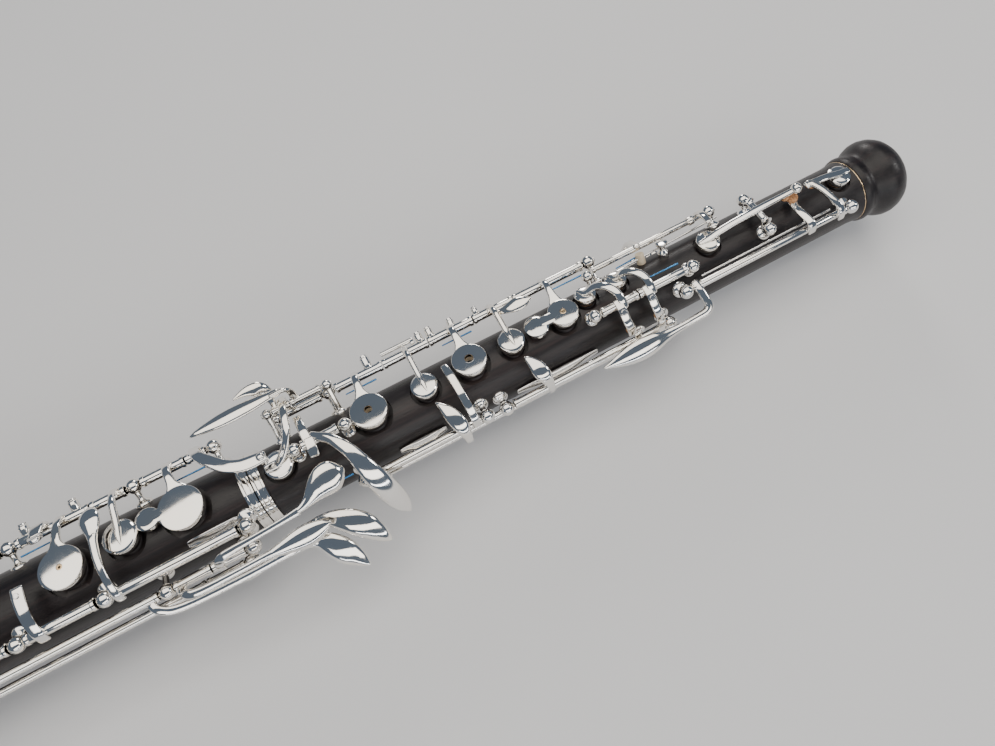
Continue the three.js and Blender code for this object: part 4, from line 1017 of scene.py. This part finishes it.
def right_hand_plates():
    key = Key("articulation_lever", RIGHT_STACK)
    key.tube(-242.4, -248.4)
    key.arm(
        (-244.8, 56, 19.1, 1.35), (-244.7, 47, 20.2, 1.4), (-244.2, 38, 20.7, 1.45),
        (-242.8, 27, 20.9, 1.6), (-240.2, 17, 20.6, 1.75), (-237.2, 8, 20.0, 1.85, 0.6),
        (-233.6, 2.6, 19.5, 1.9, 0.55), (-229.6, 1, 19.2, 1.9, 0.55), (-226.4, 1, 19.1, 1.5, 0.5),
        thick=0.65, power=4)
    key.add(radial(-227.4, 1, [
        (0, 15.8), (0.9, 15.8), (1.25, 16.2), (1.25, 19.6), (1.1, 20.1), (0.7, 20.4), (0, 20.5)], 28))
    key.done()

    key = Key("f_sharp_key", RIGHT_STACK, STAND_OPEN)
    key.tube(-248.8, -261.8, STACK_RADIUS).plate(plate_f).neck(plate_f, -253.6, 1.15)
    key.pad(plate_f, "f_sharp_pad")
    top = plate_f.surface + CUP_TOP
    key.lobe(-262.0, 4, top, (2.2, 3.2, 3.45, 3.2), 0.26)
    key.arm((-257.6, 1, top - 0.62, 2.0, 0.5), (-260.6, 3, top - 0.62, 2.0, 0.5), power=4)
    key.done()

    key = Key("f_sharp_vent_key", RIGHT_STACK, STAND_OPEN)
    key.tube(-266.6, -276.6, STACK_RADIUS).cup(cup_f).blade(cup_f, -269, width=1.0)
    key.pad(cup_f, "f_sharp_vent_pad")
    key.done()

    key = Key("e_key", RIGHT_STACK, STAND_OPEN)
    key.tube(-277, -298.2, STACK_RADIUS).plate(plate_e, bushing=0.9).neck(plate_e, -285, 1.15)
    key.pad(plate_e, "e_pad").barrel(-281, 58, 22.6, 1.4).barrel(-295.4, 58, 22.6, 1.4)
    key.arm((-291, 57, 19.2, 2.4, 0.8), (-291, 50, 20, 2.4, 0.8), (-291, 38, 19, 1.6, 0.6), power=4)
    key.add(block(-291, 36, 17.9, 19.3, 1.9, 0.3, 32), BRIGHT)
    key.done()

    key = Key("d_key", RIGHT_STACK, STAND_OPEN)
    key.tube(-303, -325, STACK_RADIUS).plate(plate_d).neck(plate_d, narrow=1.15).pad(plate_d, "d_pad")
    key.barrel(-307, 58, 22.6, 1.4)
    key.done()


def lower_keys():
    key = Key("e_flat_trill_key", NEAR_TOP)
    key.tube(-241.9, -277.2, 1.55)
    key.arm(
        (-276, -53, 17.6, 1.3), (-276, -46, 18.4, 1.25, 0.85), (-276, -32, 18.7, 1.1, 0.85),
        (-275.8, -14, 18.7, 1.05), (-275.4, 1, 18.7, 1.1), (-275.2, 8, 18.8, 1.5), thick=0.8, power=2.8)
    key.touch(
        (-275.4, 2, 18.7, 1.1, 0.75), (-275.2, 9, 18.85, 1.6, 0.8), (-275, 16, 19.2, 2.5),
        (-274.9, 22, 19.7, 2.85), (-274.8, 28, 20.1, 2.4), (-274.7, 32.5, 20.2, 1.0, 0.6))
    key.done()

    key = Key("forked_f_key", NEAR_TOP)
    key.tube(-282.1, -301.3, 1.55)
    key.arm(
        (-297, -53, 17.9, 1.5), (-297, -44, 18.8, 1.55), (-297, -30, 19.0, 1.6),
        (-296.9, -16, 18.8, 1.7, 0.7), (-296.9, -4, 18.4, 1.7, 0.5), thick=0.8, power=5)
    key.add(block(-297, -10, 18.6, 19.65, 0.75, 0.12, 20), BRIGHT)
    key.done()

    key = Key("f_key", NEAR_TOP)
    key.tube(-306.1, -356.1, 1.5).cup(cup_f_key).blade(cup_f_key, width=1.1).pad(cup_f_key, "f_pad")
    key.done()

    for body, spot, node, x, x_from, x_to in (
            ("e_flat_key", cup_e_flat, "e_flat_pad", -333.6, -329.8, -341),
            ("c_sharp_key", cup_c_sharp, "c_sharp_pad", -346.6, -341.4, -375.8)):
        key = Key(body, RIGHT_STACK)
        key.tube(x_from, x_to).cup(spot).blade(spot, width=1.1).pad(spot, node)
        key.touch(
            (x + 0.6, 54, 18.9, 1.3, 0.8), (x + 0.2, 62, 20.3, 1.6, 0.85), (x - 0.4, 70, 22.2, 2.4),
            (x - 1.2, 79, 24.6, 3.5), (x - 1.9, 87, 27, 3.6), (x - 2.4, 93, 28.6, 2.4),
            (x - 2.6, 96, 29.5, 0.9, 0.5))
        key.done()

    key = Key("low_c_key", LOW_C_HINGE, STAND_OPEN)
    key.tube(-361.3, -402.4).cup(cup_low_c).pad(cup_low_c, "low_c_pad")
    key.arm(
        (-394, 90, 18.5, 1.4, 0.8), (-394, 78, 19.8, 1.35), (-394, 58, 20.9, 1.3), (-394, 34, 19.8, 1.3),
        (-394, 14, 17.6, 1.5, 0.8), (-394, -2, 15.8, 1.2, 0.5), (-394, -12, 15.4, 0.5, 0.3), thick=0.85,
        power=2.6)
    key.touch(
        (-366.4, 89, 18.4, 1.3, 0.8), (-366, 81, 20.8, 1.6, 0.85), (-364.6, 74.5, 23.2, 2.5),
        (-361.4, 70, 25, 3.9), (-358, 68.4, 25.6, 3.8), (-355.6, 68, 25.5, 2.2),
        (-354.4, 68, 25.4, 0.8, 0.5))
    key.done()


def little_finger_keys():
    key = Key("left_f_lever", NEAR_MIDDLE)
    key.tube(-242.8, -252.4)
    key.arm(
        (-250.2, -69, 19.8, 1.2, 0.75), (-249.9, -62, 20.8, 1.3, 0.7), (-248.6, -56, 21.3, 1.3, 0.65),
        (-245, -53.4, 21.6, 1.05), (-238, -52.4, 21.7, 0.9), (-230, -51.2, 21.7, 0.9),
        (-225, -50.2, 21.6, 1.1), thick=0.6, power=4, facing=LEVER_FACING)
    key.touch(
        (-227.6, -50.8, 21.7, 0.9, 0.55), (-224, -49.6, 21.5, 1.0, 0.6), (-221.4, -47.4, 21.2, 1.6, 0.7),
        (-219.2, -44.6, 20.9, 2.6), (-217, -41.8, 20.7, 3.7), (-214.6, -39.4, 20.5, 4.5),
        (-212.4, -38.2, 20.3, 4.4), (-210.6, -37.6, 20.2, 3.2), (-209.5, -37.2, 20.1, 1.7),
        (-209.2, -37, 20, 0.8, 0.4), facing=LEVER_FACING)
    key.done()

    key = Key("left_e_flat_lever", NEAR_MIDDLE)
    key.tube(-252.8, -263.2)
    key.arm(
        (-261.4, -66, 20, 1.3), (-261.3, -66, 22.2, 1.3), (-259.6, -66.2, 23.8, 1.35),
        (-255.6, -66.4, 24.4, 1.2, 0.75), (-247, -66.2, 24.5, 1.0, 0.75), (-240, -66, 24.5, 1.0, 0.75),
        (-236, -65.8, 24.7, 1.2), thick=0.8, power=3, facing=LEVER_FACING)
    key.touch(
        (-240, -66, 24.5, 1.0, 0.75), (-236.4, -65.8, 24.7, 1.2, 0.8), (-232.6, -65.6, 24.95, 2.0, 0.85),
        (-228.8, -65.3, 25.1, 2.95), (-225.4, -65.2, 25.1, 3.25), (-222.4, -65.4, 24.9, 2.7),
        (-220.2, -65.7, 24.6, 1.7, 0.7), (-218.8, -65.8, 24.3, 0.5, 0.4), facing=LEVER_FACING)
    key.done()

    key = Key("low_b_lever", NEAR_LOW)
    key.tube(-245.6, -256.6, 1.2)
    key.arm(
        (-248.8, -86, 19.6, 1.25), (-248.4, -87, 21.2, 1.25), (-245.6, -86.8, 22.1, 1.2),
        (-241, -84.8, 21.9, 1.15), (-236, -81.4, 20.8, 1.15), (-231, -77.4, 19.8, 1.15),
        (-226, -74.2, 19.7, 1.2), (-222, -71.4, 20.4, 1.5, 0.8), power=3, facing=LEVER_FACING)
    key.touch(
        (-224.6, -73.2, 19.9, 1.3, 0.75), (-221.6, -71, 20.6, 1.6, 0.8), (-218.8, -70.6, 21.8, 2.3),
        (-216, -72.4, 23.3, 3.1), (-213.4, -75.6, 24.9, 3.6), (-211, -80, 26.7, 3.6),
        (-209.2, -84.6, 28.6, 2.9), (-207.8, -88.6, 30.4, 1.8), (-206.9, -91.2, 31.5, 0.6, 0.4),
        facing=LEVER_FACING)
    key.done()

    key = Key("low_b_key", NEAR_LOW, NEAR_OPEN)
    key.tube(-257, -452.4, 1.2).cup(cup_low_b).pad(cup_low_b, "low_b_pad")
    key.arm(
        (-444, -88, 19.6, 1.4, 0.8), (-444, -80, 21.6, 1.4), (-444, -66, 22.5, 1.4), (-444, -46, 21.2, 1.4),
        (-444, -22, 17.8, 1.6, 0.8), (-444, -2, 15.6, 1.2, 0.5), (-444, 8, 15.3, 0.5, 0.3), thick=0.85,
        power=2.8)
    key.done()

    key = Key("low_b_flat_lever", NEAR_MIDDLE)
    key.tube(-268, -464.1, 1.2)
    key.arm(
        (-270.5, -68, 20.1, 1.25, 0.8), (-269.6, -71, 21.6, 1.25, 0.8), (-266.6, -75.4, 22.7, 1.25),
        (-260, -77.8, 23.1, 1.2), (-246, -78.4, 23.4, 1.15), (-234, -78.4, 23.3, 1.15),
        (-228, -78.5, 23.35, 1.3, 0.8), power=3, facing=LEVER_FACING)
    key.touch(
        (-231, -78.4, 23.3, 1.15, 0.75), (-227.6, -78.5, 23.4, 1.4, 0.8), (-224.6, -79.2, 23.9, 2.1, 0.85),
        (-222.4, -81.6, 25.4, 3.0), (-220.4, -85.4, 27.6, 3.6), (-218.8, -89, 29.7, 3.5),
        (-217.2, -92, 31.8, 2.5), (-216, -94.2, 33.6, 1.3, 0.6), (-215.4, -95.2, 34.4, 0.5, 0.4),
        facing=LEVER_FACING)
    key.arm(
        (-458.6, -66, 20.0, 1.3, 0.8), (-461.6, -66, 22.2, 1.3, 0.85), (-466, -66, 22.8, 1.3, 0.8),
        (-474, -65.6, 22.9, 1.4, 0.7), (-481, -65, 22.9, 1.6, 0.6))
    key.done()

    key = Key("bell_key", BELL_HINGE, NEAR_OPEN)
    key.tube(-488.3, -515.2).cup(cup_bell).blade(cup_bell, width=1.2).pad(cup_bell, "low_b_flat_pad")
    key.arm(
        (-490.6, -84, 19.4, 1.3, 0.8), (-490.5, -74, 20.3, 1.3, 0.75), (-488.4, -68, 20.8, 1.3, 0.65),
        (-484, -66, 20.8, 1.35, 0.55), (-479, -65, 20.6, 1.5, 0.5))
    key.done()


# ---------------------------------------------------------------- small fittings
def thumb_rest():
    x = -276
    base = LOWER_RADIUS + 1.5
    shell = Shell()
    for power, detail, stations in (
            (5, 4, [(-10, base, 3.4, 0.55), (-9, base, 3.6, 0.6), (9, base, 3.6, 0.6),
                    (10, base, 3.4, 0.55)]),
            (4, 6, [(1, base + 0.3, 3.0, 1.1), (1.4, 15.6, 3.0, 1.0), (2.6, 17.6, 4.2, 0.9),
                    (4.4, 18.9, 6.0, 0.8)]),
            (5, 5, [(-0.6, 19.2, 6.4, 0.78), (1, 19.2, 6.9, 0.78), (9, 19.2, 6.9, 0.78),
                    (10.6, 19.2, 6.4, 0.78)])):
        shell.add(*swept([(x + step, 180, *rest) for step, *rest in stations], power, 24, detail))
    make("thumb_rest_hook", shell, SILVER, "root", ("thumb_rest",))
    for i, place in enumerate((x - 7.4, x + 7.4)):
        head = Shell()
        slotted_head(head, place, 180, base + 1.1, 1.6)
        make(f"thumb_rest_screw_{i + 1}", head, BRIGHT)


def guide_plate(name, x_from, x_to, angle, radius):
    """A flat spring plate on the body beside the near rods, thicker in its middle."""
    shell = Shell()
    stations = [(x_from + share * (x_to - x_from), angle, radius + rise, width, thickness)
                for share, rise, width, thickness in (
                    (0, -0.3, 0.9, 0.3), (0.12, -0.2, 1.2, 0.4), (0.35, 0.15, 1.5, 0.75),
                    (0.65, 0.15, 1.5, 0.75), (0.88, -0.2, 1.2, 0.4), (1, -0.3, 0.9, 0.3))]
    shell.add(*swept(stations, 5, 20, 5))
    make(name, shell, BRIGHT)


def small_fittings():
    guide_plate("upper_guide_plate", -126.5, -154, -80, 11.1)
    guide_plate("middle_guide_plate", -178.5, -193, -76, 11.2)
    guide_plate("lower_guide_plate", -240.8, -256, -44, 12.4)
    spool = Shell()
    spool.add(*radial(-93.3, 29, filleted([
        (0, 9.6), (1.7, 9.6), (1.7, 11.2), (0.9, 12.2), (0.9, 13.4), (1.9, 14.0), (1.9, 14.8), (0, 15.0)],
        0.2), 32))
    make("octave_link_stop", spool, SILVER)
    felt = Shell()
    felt.add(*block(-100.3, 38, 9.6, 13.4, 1.4, 0.25, 28))
    make("octave_link_felt", felt, SKIN)
    straight_spring("octave_link_spring", (-71.1, 44, 12.2), (-106.7, 34.6, 12), 0.38, 0.3, BRIGHT)
    straight_spring("octave_key_spring", (-40, -38.5, 12.6), (-88, -38.5, 12.6), 0.38, 0.3, BRIGHT)


# ---------------------------------------------------------------- light, floor and camera
FLOOR_HALF = 3.0
KEYWORK_MIDDLE = -170
LENS = 27.0
VIEW_ANGLE = -24
EYE_DISTANCE = 228.6
BORE_SLOPE = 27.25


def stage():
    sheet = Shell()
    corners = [(x * FLOOR_HALF, y * FLOOR_HALF, 0) for x, y in ((-1, -1), (1, -1), (1, 1), (-1, 1))]
    sheet.add(corners, [(0, 1, 2, 3)])
    floor = mesh_object("floor", sheet)
    floor.data.materials.append(pale_floor())
    world = bpy.data.worlds.new("studio")
    world.use_nodes = True
    background = world.node_tree.nodes["Background"]
    background.inputs["Color"].default_value = (0.16, 0.2, 0.26, 1)
    background.inputs["Strength"].default_value = 0.7
    bpy.context.scene.world = world


def soft_light(name, offset, target, size, power, colour):
    """A rectangular lamp; offset is from the middle of the keywork to the lamp, in metres."""
    data = bpy.data.lights.new(name, "AREA")
    data.shape = "RECTANGLE"
    data.size, data.size_y = size
    data.energy = power
    data.color = colour
    lamp = bpy.data.objects.new(name, data)
    lamp.location = target + Vector(offset)
    lamp.rotation_mode = "QUATERNION"
    lamp.rotation_quaternion = Vector(offset).to_track_quat("Z", "Y")
    bpy.context.scene.collection.objects.link(lamp)


def lights():
    """A large soft light above, a lower one on the little finger side, and three small ones for edges."""
    middle = at(KEYWORK_MIDDLE, 0, 0)
    far_shift = Vector((0, 0.087, 0))
    soft_light("key_light", (0, 0, 0.6), middle + far_shift, (1.1, 0.56), 4.3, (1.0, 0.94, 0.85))
    soft_light("near_light", (0, -0.53, 0.3), middle, (0.9, 0.17), 1.5, (1.0, 0.96, 0.9))
    soft_light("low_light", (0, -0.7, 0.09), middle, (0.9, 0.04), 0.7, (0.92, 0.95, 1.0))
    soft_light("side_light", (0.35, 0.75, 0.3), middle, (0.22, 0.22), 1.8, (1.0, 0.97, 0.93))
    soft_light("end_light", (0.8, -0.25, 0.5), middle, (0.2, 0.2), 1.4, (1.0, 0.98, 0.95))


def camera():
    """Looks down from the little finger side, off the plates' normal, with the bore rising to the right."""
    data = bpy.data.cameras.new("camera")
    data.sensor_width = 36
    data.lens = LENS
    data.clip_start = 0.01
    eye = at(-189.3, VIEW_ANGLE, EYE_DISTANCE)
    near_side = outward(VIEW_ANGLE - 90)
    target = at(-156.2, 0, 0) + near_side * 1.1 * MM
    forward = (target - eye).normalized()
    bore = Vector((1, 0, 0))
    bore_seen = (bore - forward * bore.dot(forward)).normalized()
    below = forward.cross(bore_seen)
    if below.dot(near_side) < 0:
        below = -below
    slope = math.radians(BORE_SLOPE)
    right = bore_seen * math.cos(slope) + below * math.sin(slope)
    up = bore_seen * math.sin(slope) - below * math.cos(slope)
    lens = bpy.data.objects.new("camera", data)
    lens.matrix_world = Matrix((right, up, -forward)).transposed().to_4x4()
    lens.location = eye
    bpy.context.scene.collection.objects.link(lens)
    bpy.context.scene.camera = lens


camera()
stage()
lights()
upper_joint()
lower_joint()
bell()
metal_ring("upper_joint_ring_turned", "upper_joint_ring", JOIN_X + RING_WIDTH, 9.5, 11.6)
metal_ring("middle_socket_ring_turned", "middle_socket_ring", JOIN_X - GAP, 10.3, 11.7)
metal_ring("lower_joint_ring_turned", "lower_joint_ring", BELL_X + RING_WIDTH, 12.3, 13.8)
metal_ring("bell_socket_ring_turned", "bell_socket_ring", BELL_X - GAP, 12.5, 14.2)
tenon_cork("middle_cork_sleeve", "middle_tenon_cork", JOIN_X - 1, 7.1, 8.3)
tenon_cork("bell_cork_sleeve", "bell_tenon_cork", BELL_X - 1, 9.6, 10.8)
all_posts()
all_needles()
octave_keys()
trill_keys()
left_hand_plates()
g_sharp_keys()
right_hand_plates()
lower_keys()
little_finger_keys()
thumb_rest()
small_fittings()
